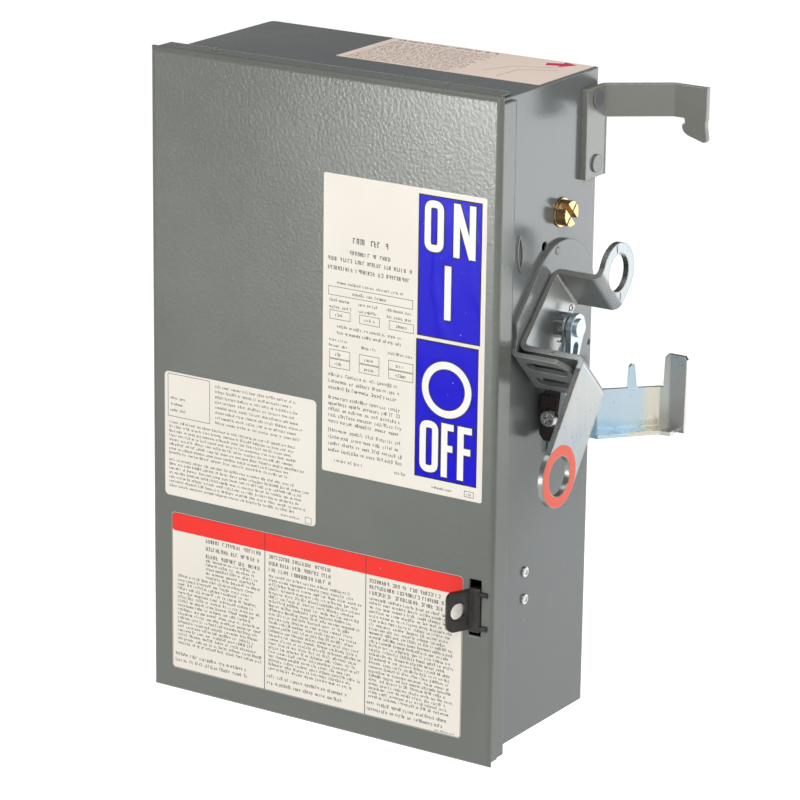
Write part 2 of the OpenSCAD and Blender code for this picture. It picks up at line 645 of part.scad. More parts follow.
module fuseTubes() color([0.9, 0.89, 0.85]) for (x = poles)
    translate([x, fuseY, fuseTop - fuseLength + 16]) cylinder(r = fuseRadius - 0.5, h = fuseLength - 32);

module fuseFerrules() color([0.75, 0.5, 0.3]) for (x = poles, z = [fuseTop - fuseLength, fuseTop - 16])
    translate([x, fuseY, z]) cylinder(r = fuseRadius, h = 16);

module loadStraps() color([0.75, 0.45, 0.3]) for (x = poles)
    block([x - 6, strapFront, -165], [x + 6, strapBack, -119]);

lugY = strapFront - 8.4;

module loadLugs() color([0.78, 0.79, 0.8]) for (x = poles) difference() {
    block([x - 7.5, strapFront - 15, -165], [x + 7.5, strapFront, -147]);
    translate([x, lugY, -170]) cylinder(r = 4, h = 30, $fn = fine);
    translate([x, 0, -156]) rodY(-60, lugY, 3.03);
}

module lugScrews() color([0.6, 0.6, 0.62]) for (x = poles) translate([x, 0, -156]) difference() {
    rodY(strapFront - 17.4, lugY - 4.4, 3);
    translate([0, strapFront - 18, 0]) rotate([-90, 0, 0]) cylinder(r = 1.6, h = 3, $fn = 6);
}

module groundLug() color([0.78, 0.79, 0.8]) difference() {
    block([74, -18, -158], [100, -sheet, -140]);
    for (x = [81, 93]) translate([x, -9.6, -160]) cylinder(r = 3.4, h = 40);
    for (x = [81, 93]) translate([x, 0, -149]) rodY(-20, -10, 2.53);
}

module groundScrews() color([0.3, 0.55, 0.35]) for (x = [81, 93]) translate([x, 0, -149]) {
    rodY(-18, -13.4, 2.5);
    rodY(-20.6, -18, 4);
}

// ---- busway side ----

// Moulded housing that enters the busway's plug-in opening, one slot over each bar
module jawHousing() color([0.14, 0.14, 0.15]) difference() {
    union() {
        block([poles[0] - 20.8, -sheet, jawZ - 18.8], [poles[2] + 20.8, 24, jawZ + 18.8]);
        block([poles[2] + 20, 0, jawZ - 9], [76, 6, jawZ + 9]);
        block([75, -sheet, jawZ - 16], [93, 8, jawZ + 16]);
    }
    for (x = poles) block([x - 7, 4, jawZ - 25], [x + 7, 30, jawZ + 25]);
    for (x = poles) block([x - 6.2, -5, 99.8], [x + 6.2, 6, 102.2]);
    block([81, -5, jawZ - 10], [87, 12, jawZ + 10]);
}

module buswayJaws() color([0.8, 0.8, 0.78]) for (x = poles) translate([x, 0, 0])
    alongZ(102, 14) polygon(foldOutline([[-4.6, 21], [-3.7, 16], [-5.2, 5.2], [5.2, 5.2], [3.7, 16], [4.6, 21]],
        1.2, 0.8));

module groundJaw() color([0.8, 0.8, 0.78]) translate([84, 0, 0])
    alongZ(jawZ - 9, 18) polygon(foldOutline([[-2, 19], [-2, -3], [2, -3], [2, 19]], 1.2, 0.8));

module knockoutDiscs() color([0.5, 0.52, 0.49]) for (x = [-62, 0, 62]) translate([x, -52, -hh - 0.7])
    cylinder(r = x == 0 ? 17.4 : 14, h = 0.7);

// ---- assembly ----

enclosure();
frontCover();  // front_cover
coverHingeLeaves();  // cover_hinge_leaves
boxHingeLeaves();  // box_hinge_leaves
hingePins();  // hinge_pins
coverLatch();  // cover_latch
latchBlade();  // latch_blade
latchCatch();  // latch_catch
latchKeeper();  // latch_keeper
keeperRivets();  // keeper_rivets
hangerHook();  // hanger_hook
hookRivets();  // hook_rivets
releaseScrew();  // release_screw
releaseBush();  // release_bush
padlockGuard();  // padlock_guard
guardRivets();  // guard_rivets
switchHandle();  // switch_handle
handleShaft();  // handle_shaft
shaftNut();  // shaft_nut
cotterPin();  // cotter_pin
shaftBush();  // shaft_bush
slottedLink();  // slotted_link
lowerHook();  // lower_hook
driveBlock();  // drive_block
blockScrew();  // block_screw
slideRivets();  // slide_rivets
switchBase();  // switch_base
baseScrews();  // base_screws
bearingBlocks();  // bearing_blocks
switchRotor();  // switch_rotor
movingBlades();  // moving_blades
lineContacts();  // line_contacts
loadContacts();  // load_contacts
phaseBarriers();  // phase_barriers
lineShield();  // line_shield
fuseBase();  // fuse_base
lineFuseClips();  // line_fuse_clips
loadFuseClips();  // load_fuse_clips
fuseTubes();  // fuse_tubes
fuseFerrules();  // fuse_ferrules
loadStraps();  // load_straps
loadLugs();  // load_lugs
lugScrews();  // lug_screws
groundLug();  // ground_lug
groundScrews();  // ground_screws
jawHousing();  // jaw_housing
buswayJaws();  // busway_jaws
groundJaw();  // ground_jaw
knockoutDiscs();  // knockout_discs
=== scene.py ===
import json
import math
import bpy
import numpy as np
from mathutils import Matrix, Vector


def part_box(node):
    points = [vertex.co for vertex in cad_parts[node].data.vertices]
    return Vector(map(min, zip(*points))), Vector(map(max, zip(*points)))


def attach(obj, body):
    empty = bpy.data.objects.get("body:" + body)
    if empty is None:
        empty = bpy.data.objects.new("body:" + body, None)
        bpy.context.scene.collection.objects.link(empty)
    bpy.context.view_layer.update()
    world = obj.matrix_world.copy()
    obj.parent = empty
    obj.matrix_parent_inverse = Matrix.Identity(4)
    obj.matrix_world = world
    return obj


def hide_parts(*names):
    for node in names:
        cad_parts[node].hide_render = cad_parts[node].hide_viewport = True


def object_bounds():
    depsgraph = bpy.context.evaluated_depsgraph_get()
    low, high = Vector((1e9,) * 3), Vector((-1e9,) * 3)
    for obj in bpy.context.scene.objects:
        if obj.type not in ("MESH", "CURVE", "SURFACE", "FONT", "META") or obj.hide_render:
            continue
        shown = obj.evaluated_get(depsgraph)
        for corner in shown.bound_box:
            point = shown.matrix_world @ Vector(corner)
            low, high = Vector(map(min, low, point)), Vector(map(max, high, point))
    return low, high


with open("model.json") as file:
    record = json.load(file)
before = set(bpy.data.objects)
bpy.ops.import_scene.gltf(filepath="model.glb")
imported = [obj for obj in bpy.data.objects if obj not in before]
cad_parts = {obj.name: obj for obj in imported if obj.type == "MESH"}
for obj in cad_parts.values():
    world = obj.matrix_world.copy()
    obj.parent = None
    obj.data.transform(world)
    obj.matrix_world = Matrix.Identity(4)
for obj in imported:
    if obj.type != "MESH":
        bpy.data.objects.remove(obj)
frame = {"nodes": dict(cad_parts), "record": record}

cadBox = [list(corner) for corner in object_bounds()]
mm = 0.001
nodes = frame["nodes"]
mounts = {m["name"]: m for m in frame["record"]["mounts"]}


def shaderNode(tree, kind, **settings):
    # one node, its sockets and fields set by name
    node = tree.nodes.new(kind)
    for key, value in settings.items():
        if key in node.inputs:
            node.inputs[key].default_value = value
        else:
            setattr(node, key, value)
    return node


def feed(tree, socket, value):
    # another node's socket, or a plain value, into an input
    if hasattr(value, "links"):
        tree.links.new(value, socket)
    else:
        socket.default_value = value


def wire(tree, *pairs):
    for source, target in pairs:
        tree.links.new(source, target)


def maths(tree, operation, a, b=0.5, clamp=False):
    # arithmetic on sockets or plain numbers
    node = shaderNode(tree, "ShaderNodeMath", operation=operation, use_clamp=clamp)
    feed(tree, node.inputs[0], a)
    feed(tree, node.inputs[1], b)
    return node.outputs[0]


def weighted(tree, first, second):
    # sum of two (socket, weight) pairs
    return maths(tree, "ADD", maths(tree, "MULTIPLY", *first), maths(tree, "MULTIPLY", *second))


def spread(tree, value, low, high, toLow=0.0, toHigh=1.0):
    # smooth step from one band of values to another
    node = shaderNode(tree, "ShaderNodeMapRange", interpolation_type="SMOOTHSTEP")
    sockets = ("Value", "From Min", "From Max", "To Min", "To Max")
    for socket, given in zip(sockets, (value, low, high, toLow, toHigh)):
        feed(tree, node.inputs[socket], given)
    return node.outputs["Result"]


def noise(tree, place, scale, detail=3.0, rough=0.5, stretch=None):
    # so many cells to the metre, drawn out along an axis whose stretch is below 1
    if stretch:
        mapping = shaderNode(tree, "ShaderNodeMapping", Scale=stretch)
        wire(tree, (place, mapping.inputs["Vector"]))
        place = mapping.outputs["Vector"]
    node = shaderNode(tree, "ShaderNodeTexNoise", Detail=detail, Roughness=rough)
    wire(tree, (place, node.inputs["Vector"]))
    feed(tree, node.inputs["Scale"], scale)
    return node.outputs["Fac"]


def placeOf(tree, kind="Object"):
    return tree.nodes.new("ShaderNodeTexCoord").outputs[kind]


def axesOf(tree, place):
    split = tree.nodes.new("ShaderNodeSeparateXYZ")
    wire(tree, (place, split.inputs[0]))
    return split.outputs


number, arrow = "NodeSocketFloat", "NodeSocketVector"
surfaceOutputs = {"Tone": number, "Marks": number, "Roughness": number, "Height": number}


def startGroup(name, inputs, outputs=surfaceOutputs):
    # empty group with named number inputs and the outputs given
    tree = bpy.data.node_groups.new(name, "ShaderNodeTree")
    for label, value in inputs.items():
        socket = tree.interface.new_socket(name=label, in_out="INPUT", socket_type=number)
        socket.default_value = value
    for label, kind in outputs.items():
        tree.interface.new_socket(name=label, in_out="OUTPUT", socket_type=kind)
    entry = tree.nodes.new("NodeGroupInput")
    leave = tree.nodes.new("NodeGroupOutput")
    return tree, entry.outputs, leave.inputs, placeOf(tree)


# settings of each group: cells to the metre, and Shine, the middle of its roughness
sprayedCoat = {"Peel": 700.0, "Fine": 1800.0, "Cloud": 9.0, "Speck": 900.0, "Shine": 0.36}


def makeCoatGroup():
    # sprayed coat: orange peel in the height, soft clouds in the tone, a few pale specks of dust
    tree, given, out, place = startGroup("sprayedCoat", sprayedCoat)
    peel = noise(tree, place, given["Peel"], 1.5, 0.45)
    fine = noise(tree, place, given["Fine"], 1.0)
    cloud = noise(tree, place, given["Cloud"], 4.0, 0.6)
    specks = noise(tree, place, given["Speck"], 0.0)
    sheen = spread(tree, cloud, 0.25, 0.75, -0.03, 0.04)
    wire(tree, (spread(tree, cloud, 0.3, 0.7), out["Tone"]),
         (spread(tree, specks, 0.8, 0.86), out["Marks"]),
         (weighted(tree, (peel, 0.92), (fine, 0.08)), out["Height"]),
         (maths(tree, "ADD", given["Shine"], sheen), out["Roughness"]))
    return tree


zincPlate = {"Bloom": 60.0, "Streak": 900.0, "Handling": 420.0, "Grain": 2200.0, "Shine": 0.3}


def makePlateGroup():
    # zinc plate: cloudy bloom with a trace of drawn streaks in the tone, scattered handling marks
    tree, given, out, place = startGroup("zincPlate", zincPlate)
    bloomAndFade = noise(tree, place, given["Bloom"], 5.0, 0.62)
    streak = noise(tree, place, given["Streak"], 2.0, 0.5, (1.0, 1.0, 0.06))
    handling = noise(tree, place, given["Handling"], 2.0, 0.55, (0.35, 1.0, 1.0))
    grain = noise(tree, place, given["Grain"], 1.0)
    drawn = weighted(tree, (bloomAndFade, 0.84), (streak, 0.16))
    sheen = spread(tree, bloomAndFade, 0.3, 0.7, -0.07, 0.09)
    wire(tree, (spread(tree, drawn, 0.34, 0.66), out["Tone"]),
         (spread(tree, handling, 0.66, 0.74), out["Marks"]),
         (weighted(tree, (streak, 0.6), (grain, 0.4)), out["Height"]),
         (maths(tree, "ADD", given["Shine"], sheen), out["Roughness"]))
    return tree


mouldedSkin = {"Spark": 1500.0, "Flow": 45.0, "Wear": 160.0, "Shine": 0.45}


def makeMouldGroup():
    # moulded plastic: spark texture in the height, flow clouds in the tone, worn patches that shine
    tree, given, out, place = startGroup("mouldedSkin", mouldedSkin)
    spark = noise(tree, place, given["Spark"], 2.0, 0.6)
    flow = noise(tree, place, given["Flow"], 3.0, 0.6, (1.0, 1.0, 0.4))
    wear = noise(tree, place, given["Wear"], 4.0, 0.65)
    sheen = spread(tree, wear, 0.4, 0.7, 0.04, -0.08)
    wire(tree, (spread(tree, flow, 0.3, 0.7), out["Tone"]),
         (spread(tree, wear, 0.55, 0.75), out["Marks"]),
         (spark, out["Height"]),
         (maths(tree, "ADD", given["Shine"], sheen), out["Roughness"]))
    return tree


printedFilm = {"Peel": 560.0, "Wrinkle": 26.0, "Cloud": 11.0, "Fleck": 700.0, "Shine": 0.3}


def makeFilmGroup():
    # printed film: the coat shows through, pin-prick flecks, a soft wrinkle wherever a slow wave crosses its middle
    tree, given, out, place = startGroup("printedFilm", printedFilm)
    peel = noise(tree, place, given["Peel"], 1.5, 0.45)
    wave = noise(tree, place, given["Wrinkle"], 2.0, 0.5, (1.0, 1.0, 0.55))
    crease = maths(tree, "ABSOLUTE", maths(tree, "SUBTRACT", wave, 0.5))
    wrinkle = spread(tree, crease, 0.0, 0.07, 1.0, 0.0)
    cloud = noise(tree, place, given["Cloud"], 2.0)
    flecks = noise(tree, place, given["Fleck"], 0.0)
    sheen = spread(tree, cloud, 0.3, 0.7, -0.02, 0.03)
    wire(tree, (spread(tree, cloud, 0.3, 0.7), out["Tone"]),
         (spread(tree, flecks, 0.84, 0.88), out["Marks"]),
         (maths(tree, "ADD", maths(tree, "MULTIPLY", peel, 0.3), wrinkle), out["Height"]),
         (maths(tree, "ADD", given["Shine"], sheen), out["Roughness"]))
    return tree


# metres, and cells to the metre
softEdge = {"Radius": 0.0005, "Spread": 0.0009, "Patch": 300.0}
# cosines of the turn from the face where the rim begins, where the rubbing and the painted edge highlight begin, and
# where they are full
edgeTurns = {"rim": 0.9995, "rubAndHighlight": 0.985, "full": 0.82}


def makeEdgeGroup():
    # rounds the shading of an edge; gives a patchy mask along it, for rubbed wear and a painted edge highlight, and
    # the thin line where it begins, for a painted shade line
    outputs = {"Normal": arrow, "RubAndHighlightMask": number, "Rim": number}
    tree, given, out, place = startGroup("softEdge", softEdge, outputs)
    turns = edgeTurns
    soft = shaderNode(tree, "ShaderNodeBevel", samples=6)
    wide = shaderNode(tree, "ShaderNodeBevel", samples=6)
    facing = tree.nodes.new("ShaderNodeNewGeometry")
    dot = shaderNode(tree, "ShaderNodeVectorMath", operation="DOT_PRODUCT")
    wire(tree, (given["Radius"], soft.inputs["Radius"]), (given["Spread"], wide.inputs["Radius"]),
         (wide.outputs["Normal"], dot.inputs[0]), (facing.outputs["True Normal"], dot.inputs[1]))
    patchy = spread(tree, noise(tree, place, given["Patch"], 3.0, 0.6), 0.2, 0.55)
    near = spread(tree, dot.outputs["Value"], turns["rubAndHighlight"], turns["full"])
    begun = spread(tree, dot.outputs["Value"], turns["rim"], turns["rubAndHighlight"])
    wire(tree, (soft.outputs["Normal"], out["Normal"]),
         (maths(tree, "MULTIPLY", near, patchy), out["RubAndHighlightMask"]),
         (maths(tree, "SUBTRACT", begun, near, True), out["Rim"]))
    return tree


coatGroup, plateGroup, mouldGroup = makeCoatGroup(), makePlateGroup(), makeMouldGroup()
filmGroup, edgeGroup = makeFilmGroup(), makeEdgeGroup()
print("shader groups made")


def srgb(red, green, blue):
    # display values 0..255 as a linear colour
    share = np.array([red, green, blue]) / 255.0
    linear = np.where(share <= 0.04045, share / 12.92, ((share + 0.055) / 1.055) ** 2.4)
    return (*[float(v) for v in linear], 1.0)


def tones(*colours):
    return [srgb(*colour) for colour in colours]


def useGroup(tree, group, **values):
    node = tree.nodes.new("ShaderNodeGroup")
    node.node_tree = group
    for name, value in values.items():
        node.inputs[name].default_value = value
    return node.outputs


def blendColour(tree, mask, first, second):
    # colour or socket mixed by a mask
    node = shaderNode(tree, "ShaderNodeMix", data_type="RGBA")
    feed(tree, node.inputs[0], mask)
    feed(tree, node.inputs[6], first)
    feed(tree, node.inputs[7], second)
    return node.outputs[2]


def blendValue(tree, mask, first, second):
    # number or socket mixed by a mask
    node = shaderNode(tree, "ShaderNodeMix", data_type="FLOAT")
    feed(tree, node.inputs[0], mask)
    feed(tree, node.inputs[2], first)
    feed(tree, node.inputs[3], second)
    return node.outputs[0]


def makeFinish(name, look, edges=True):
    # two tones clouded together, a third over marks and over rims as a painted shade line, a fourth where edges are
    # rubbed and given a painted highlight, bump from the height
    material = bpy.data.materials.new(name)
    material.use_nodes = True
    tree = material.node_tree
    shader = tree.nodes["Principled BSDF"]
    for socket, value in look.get("shader", {}).items():
        shader.inputs[socket].default_value = value
    parts = useGroup(tree, look["group"], **look["values"])
    first, second, markAndRimShade, rubAndHighlightTone = look["tones"]
    colour = blendColour(tree, parts["Tone"], first, second)
    colour = blendColour(tree, maths(tree, "MULTIPLY", parts["Marks"], look.get("marks", 0.5)), colour, markAndRimShade)
    bump = shaderNode(tree, "ShaderNodeBump", Strength=look.get("bump", 0.3), Distance=look.get("depth", 0.0001))
    for node, start, end, bloomAndFade in look.get("fades", []):
        # another colour over the far part of one node, along x
        inside = nodes[node].matrix_world.inverted()
        low, high = ((inside @ corner).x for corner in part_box(node))
        across = axesOf(tree, placeOf(tree))["X"]
        far = spread(tree, across, low + start * (high - low), low + end * (high - low))
        colour = blendColour(tree, far, colour, bloomAndFade)
    roughness = parts["Roughness"]
    if edges:
        edge = useGroup(tree, edgeGroup, **look.get("edge", {}))
        # rims take the third tone: a painted shade line where the edge begins
        colour = blendColour(tree, maths(tree, "MULTIPLY", edge["Rim"], look.get("rim", 0.0)), colour, markAndRimShade)
        # edges take the fourth tone: rubbed wear, and a painted highlight along the edge
        colour = blendColour(tree, maths(tree, "MULTIPLY", edge["RubAndHighlightMask"], look.get("rubAndHighlight", 0.3)), colour, rubAndHighlightTone)
        wire(tree, (edge["Normal"], bump.inputs["Normal"]))
        if "rubShine" in look:
            roughness = blendValue(tree, edge["RubAndHighlightMask"], roughness, look["rubShine"])
    wire(tree, (colour, shader.inputs["Base Color"]), (roughness, shader.inputs["Roughness"]),
         (parts["Height"], bump.inputs["Height"]), (bump.outputs["Normal"], shader.inputs["Normal"]))
    return material


# values go into the group and shader onto the Principled BSDF; tones are two clouds, marks (also the painted shade
# line of rims) and rubbed edges with a painted edge highlight; the weights of marks, rim and edges say how much of
# each shows; a fade is a node, its start and end as shares of its length, a colour
metal = {"Metallic": 1.0}
finishes = {
    "grey_paint": {
        "group": coatGroup, "values": {"Peel": 480.0, "Cloud": 7.0, "Shine": 0.16},
        "bump": 0.2, "depth": 0.0002, "marks": 0.3, "rubAndHighlight": 0.8, "edge": {"Radius": 0.0008, "Spread": 0.0008},
        "tones": tones((103, 107, 106), (109, 112, 111), (150, 152, 148), (172, 169, 158))},
    "cover_paint": {
        "group": coatGroup, "values": {"Peel": 480.0, "Cloud": 7.0, "Shine": 0.21},
        "bump": 0.38, "depth": 0.0002, "marks": 0.3, "rubAndHighlight": 0.35, "edge": {"Radius": 0.0013},
        "tones": tones((102, 106, 99), (108, 112, 105), (150, 152, 148), (136, 138, 132))},
    # the hanger strap's paint: a warmer grey than the box's, made lighter as a painted reflection of the strap's
    # sheen
    "warm_hanger_paint_and_painted_sheen": {
        "group": coatGroup, "values": {"Peel": 480.0, "Cloud": 7.0, "Shine": 0.2},
        "bump": 0.2, "depth": 0.0002, "marks": 0.3, "rubAndHighlight": 0.8, "edge": {"Radius": 0.0006, "Spread": 0.0008},
        "tones": tones((124, 124, 117), (132, 132, 125), (150, 152, 148), (196, 193, 180))},
    "zinc": {
        "group": plateGroup, "values": {"Bloom": 90.0, "Shine": 0.24}, "shader": metal,
        "bump": 0.15, "depth": 0.00003, "marks": 0.3,
        "tones": tones((186, 188, 188), (198, 200, 200), (150, 146, 138), (228, 224, 214))},
    "handle_zinc": {
        "group": plateGroup, "values": {"Bloom": 15.0, "Shine": 0.29}, "shader": {"Metallic": 0.82},
        "bump": 0.45, "depth": 0.00005, "marks": 0.5, "rim": 0.8, "rubAndHighlight": 0.8, "rubShine": 0.45,
        "edge": {"Radius": 0.0005, "Spread": 0.0013},
        "tones": tones((130, 139, 146), (160, 160, 156), (84, 80, 74), (192, 184, 154))},
    "hook_zinc": {
        "group": plateGroup, "values": {"Bloom": 30.0, "Shine": 0.3}, "shader": {"Metallic": 0.8},
        "bump": 0.25, "depth": 0.00004, "marks": 0.25, "rim": 0.1, "rubAndHighlight": 0.2, "rubShine": 0.4,
        "edge": {"Radius": 0.0005, "Spread": 0.0011},
        "tones": tones((200, 226, 240), (212, 228, 236), (150, 148, 142), (228, 222, 208)),
        # the lower hook turns a pale beige tint past its middle, then a darker grey over its end plate, a painted
        # shade
        "fades": [("lower_hook", 0.44, 0.54, srgb(232, 228, 214)), ("lower_hook", 0.74, 0.79, srgb(186, 184, 178))]},
    "link_zinc": {
        "group": plateGroup, "values": {"Bloom": 40.0, "Shine": 0.3}, "shader": {"Metallic": 0.8},
        "bump": 0.25, "depth": 0.00004, "marks": 0.3, "rim": 0.6, "rubAndHighlight": 0.75, "rubShine": 0.4,
        "edge": {"Radius": 0.0004, "Spread": 0.001},
        "tones": tones((166, 186, 198), (186, 194, 198), (96, 92, 86), (222, 216, 204))},
    "black_moulding": {
        "group": mouldGroup, "values": {"Shine": 0.3}, "shader": {"Specular IOR Level": 0.36},
        "bump": 0.3, "depth": 0.00008, "edge": {"Radius": 0.0016},
        "tones": tones((30, 25, 23), (44, 38, 35), (84, 76, 71), (104, 98, 93))},
    "brass": {
        "group": plateGroup, "values": {"Bloom": 160.0, "Shine": 0.24}, "shader": metal,
        "bump": 0.2, "depth": 0.00003, "rubAndHighlight": 0.5,
        "tones": tones((178, 144, 92), (192, 166, 124), (104, 74, 40), (226, 212, 178))},
    "copper": {
        "group": plateGroup, "values": {"Bloom": 80.0, "Shine": 0.28}, "shader": metal, "bump": 0.2, "depth": 0.00004,
        "tones": tones((200, 126, 92), (216, 146, 112), (140, 84, 60), (236, 190, 160))},
    "spring_bronze": {
        "group": plateGroup, "values": {"Bloom": 100.0, "Shine": 0.3}, "shader": metal, "bump": 0.2, "depth": 0.00004,
        "tones": tones((196, 184, 162), (210, 200, 180), (150, 132, 104), (230, 222, 204))},
    "cream_moulding": {
        "group": mouldGroup, "values": {"Shine": 0.38}, "bump": 0.15, "depth": 0.00006,
        "tones": tones((214, 208, 192), (222, 217, 203), (200, 192, 172), (232, 228, 216))},
    "fibre_tube": {
        "group": mouldGroup, "values": {"Spark": 900.0, "Shine": 0.5}, "bump": 0.3, "depth": 0.00005,
        "tones": tones((226, 220, 204), (232, 228, 214), (212, 200, 176), (236, 232, 222))},
    "fibre_board": {
        "group": mouldGroup, "values": {"Spark": 700.0, "Shine": 0.6}, "bump": 0.4, "depth": 0.00008,
        "tones": tones((190, 176, 150), (202, 190, 166), (168, 150, 122), (214, 204, 184))},
    "aluminium": {
        "group": plateGroup, "values": {"Bloom": 70.0, "Shine": 0.36}, "shader": metal, "bump": 0.3, "depth": 0.00005,
        "tones": tones((190, 192, 194), (206, 208, 210), (156, 156, 156), (226, 228, 230))},
    "green_screw": {
        "group": coatGroup, "values": {"Peel": 1400.0, "Shine": 0.35}, "bump": 0.15, "depth": 0.00005,
        "tones": tones((44, 128, 70), (54, 140, 80), (90, 160, 110), (150, 170, 150))},
    "plated_jaw": {
        "group": plateGroup, "values": {"Bloom": 120.0, "Shine": 0.25}, "shader": metal,
        "bump": 0.2, "depth": 0.00003,
        "tones": tones((205, 204, 198), (218, 217, 212), (176, 160, 136), (232, 232, 228))},
    "clear_sheet": {
        "group": mouldGroup, "values": {"Shine": 0.12}, "shader": {"Transmission Weight": 0.9, "IOR": 1.49},
        "bump": 0.05, "depth": 0.00002,
        "tones": tones((232, 238, 240), (238, 243, 245), (220, 228, 230), (245, 250, 250))},
}
made = {name: makeFinish(name.replace("_", " "), look) for name, look in finishes.items()}
finishOf = {part["node"]: part["material_slot"] for part in frame["record"]["subparts"]}
finishOf.update({"front_cover": "cover_paint", "hanger_hook": "warm_hanger_paint_and_painted_sheen", "lower_hook": "hook_zinc",
                 "slotted_link": "link_zinc", "handle_shaft": "link_zinc", "release_bush": "brass"})
for name, shape in nodes.items():
    for index in range(len(shape.data.materials)):
        shape.data.materials[index] = made[finishOf[name]]
print("finishes placed on", len(nodes), "CAD nodes")


def printFinish(name, colour, second, shine=0.35, bump=0.25, gloss=0.3):
    # ink or bare stock in two close tones, pale where it is flecked
    look = {"group": filmGroup, "values": {"Shine": shine}, "shader": {"Specular IOR Level": gloss},
            "bump": bump, "depth": 0.0002, "marks": 0.8, "tones": tones(colour, second, (236, 234, 230), colour)}
    return makeFinish(name, look, edges=False)


inks = {
    "stock": printFinish("label stock", (238, 232, 221), (235, 228, 216), 0.32),
    "blue": printFinish("blue ink", (20, 5, 208), (16, 3, 202), 0.24, 0.4, 0.12),
    "red": printFinish("red ink", (246, 50, 42), (242, 46, 38), 0.3, 0.25, 0.2),
    "black": printFinish("black ink", (52, 49, 50), (62, 59, 60), 0.35),
    "outline": printFinish("dark outline ink", (12, 10, 28), (16, 14, 34), 0.3, 0.25, 0.16),
    "white": printFinish("white ink", (247, 245, 241), (240, 238, 234), 0.3),
    "pink": printFinish("top label stock", (238, 220, 206), (230, 210, 196), 0.4),
    "magenta": printFinish("magenta ink", (214, 44, 96), (200, 36, 86), 0.35),
    "ring": printFinish("red ring vinyl", (255, 98, 70), (246, 86, 60), 0.35),
}


def plane(origin, across, up):
    # flat (u, v, height) in mm to the frame: origin + u across + v up + height outwards
    across, up = np.array(across, float), np.array(up, float)
    turn = np.stack([across, up, np.cross(across, up)])
    return lambda flat: np.array(origin) + flat @ turn * mm


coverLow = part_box("front_cover")[0]
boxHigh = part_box("enclosure")[1]
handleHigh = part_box("switch_handle")[1]
onCover = plane((coverLow.x, coverLow.y, coverLow.z), (1, 0, 0), (0, 0, 1))
onTop = plane((coverLow.x, coverLow.y, boxHigh.z), (1, 0, 0), (0, 1, 0))


def addObject(name, data):
    thing = bpy.data.objects.new(name, data)
    bpy.context.scene.collection.objects.link(thing)
    return thing


def addPiece(name, shape, place, finish, body="cover"):
    # shape is (points, faces) in flat mm, and place takes it into the frame
    points, faces = shape
    mesh = bpy.data.meshes.new(name)
    mesh.from_pydata(place(points.reshape(-1, 3)).tolist(), [], faces.reshape(-1, faces.shape[-1]).tolist())
    mesh.validate()
    mesh.materials.append(finish)
    piece = addObject(name, mesh)
    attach(piece, body)
    return piece


def wrapGrid(rows, columns, closedRows, closedColumns):
    # quads of a grid of points, wrapped round where it closes
    r = np.arange(rows if closedRows else rows - 1)
    c = np.arange(columns if closedColumns else columns - 1)
    i, j = np.meshgrid(r, c, indexing="ij")
    i2, j2 = (i + 1) % rows, (j + 1) % columns
    return np.stack([i * columns + j, i * columns + j2, i2 * columns + j2, i2 * columns + j], -1).reshape(-1, 4)


def joinShapes(shapes):
    # several (points, faces) as one
    points, faces, count = [], [], 0
    for p, f in shapes:
        p = p.reshape(-1, 3)
        points.append(p)
        faces.append(f + count)
        count += len(p)
    return np.concatenate(points), np.concatenate(faces)


def rectangle(left, right, bottom, top):
    return [[left, bottom], [right, bottom], [right, top], [left, top]]


def circle(radius, steps):
    # radius (cos t, sin t), once round
    turn = np.linspace(0, 2 * math.pi, steps, endpoint=False)
    return radius * np.stack([np.cos(turn), np.sin(turn)], -1)


def roundedRim(size, corner, inset=0.0, steps=9):
    # quarter circles about the four corner centres, joined straight and drawn in by the inset
    half = np.array(size) / 2 - corner
    around = np.concatenate([np.linspace(0, math.pi / 2, steps) + k * math.pi / 2 for k in range(4)])
    sign = np.repeat([[1, 1], [-1, 1], [-1, -1], [1, -1]], steps, axis=0)
    return sign * half + (corner - inset) * np.stack([np.cos(around), np.sin(around)], -1)


def roundedSheet(size, corner, low, high, shut=0.0005):
    # rings are the rim scaled about the middle: out over the top, down the edge, back in underneath to a ring
    # that is all but shut, and up to the first
    rim = roundedRim(size, corner)
    share = np.array([shut, 1.0, 1.0, shut])[:, None, None]
    level = np.array([high, high, low, low])[:, None, None]
    points = np.concatenate([rim * share, np.broadcast_to(level, (len(level), len(rim), 1))], -1)
    return points, wrapGrid(len(level), len(rim), True, True)[:, ::-1]


def flatBoxes(left, right, bottom, top, low, high):
    # many thin bricks at once: eight corners each from arrays of their sides
    left, right, bottom, top = (np.ravel(np.asarray(a, float)) for a in (left, right, bottom, top))
    u = np.stack([left, right, right, left] * 2, -1)
    v = np.stack([bottom, bottom, top, top] * 2, -1)
    h = np.broadcast_to(np.array([low] * 4 + [high] * 4, float), u.shape)
    brick = np.array([[3, 2, 1, 0], [4, 5, 6, 7], [0, 1, 5, 4], [1, 2, 6, 5], [2, 3, 7, 6], [3, 0, 4, 7]])
    faces = brick + 8 * np.arange(len(left))[:, None, None]
    return np.stack([u, v, h], -1), faces.reshape(-1, 4)


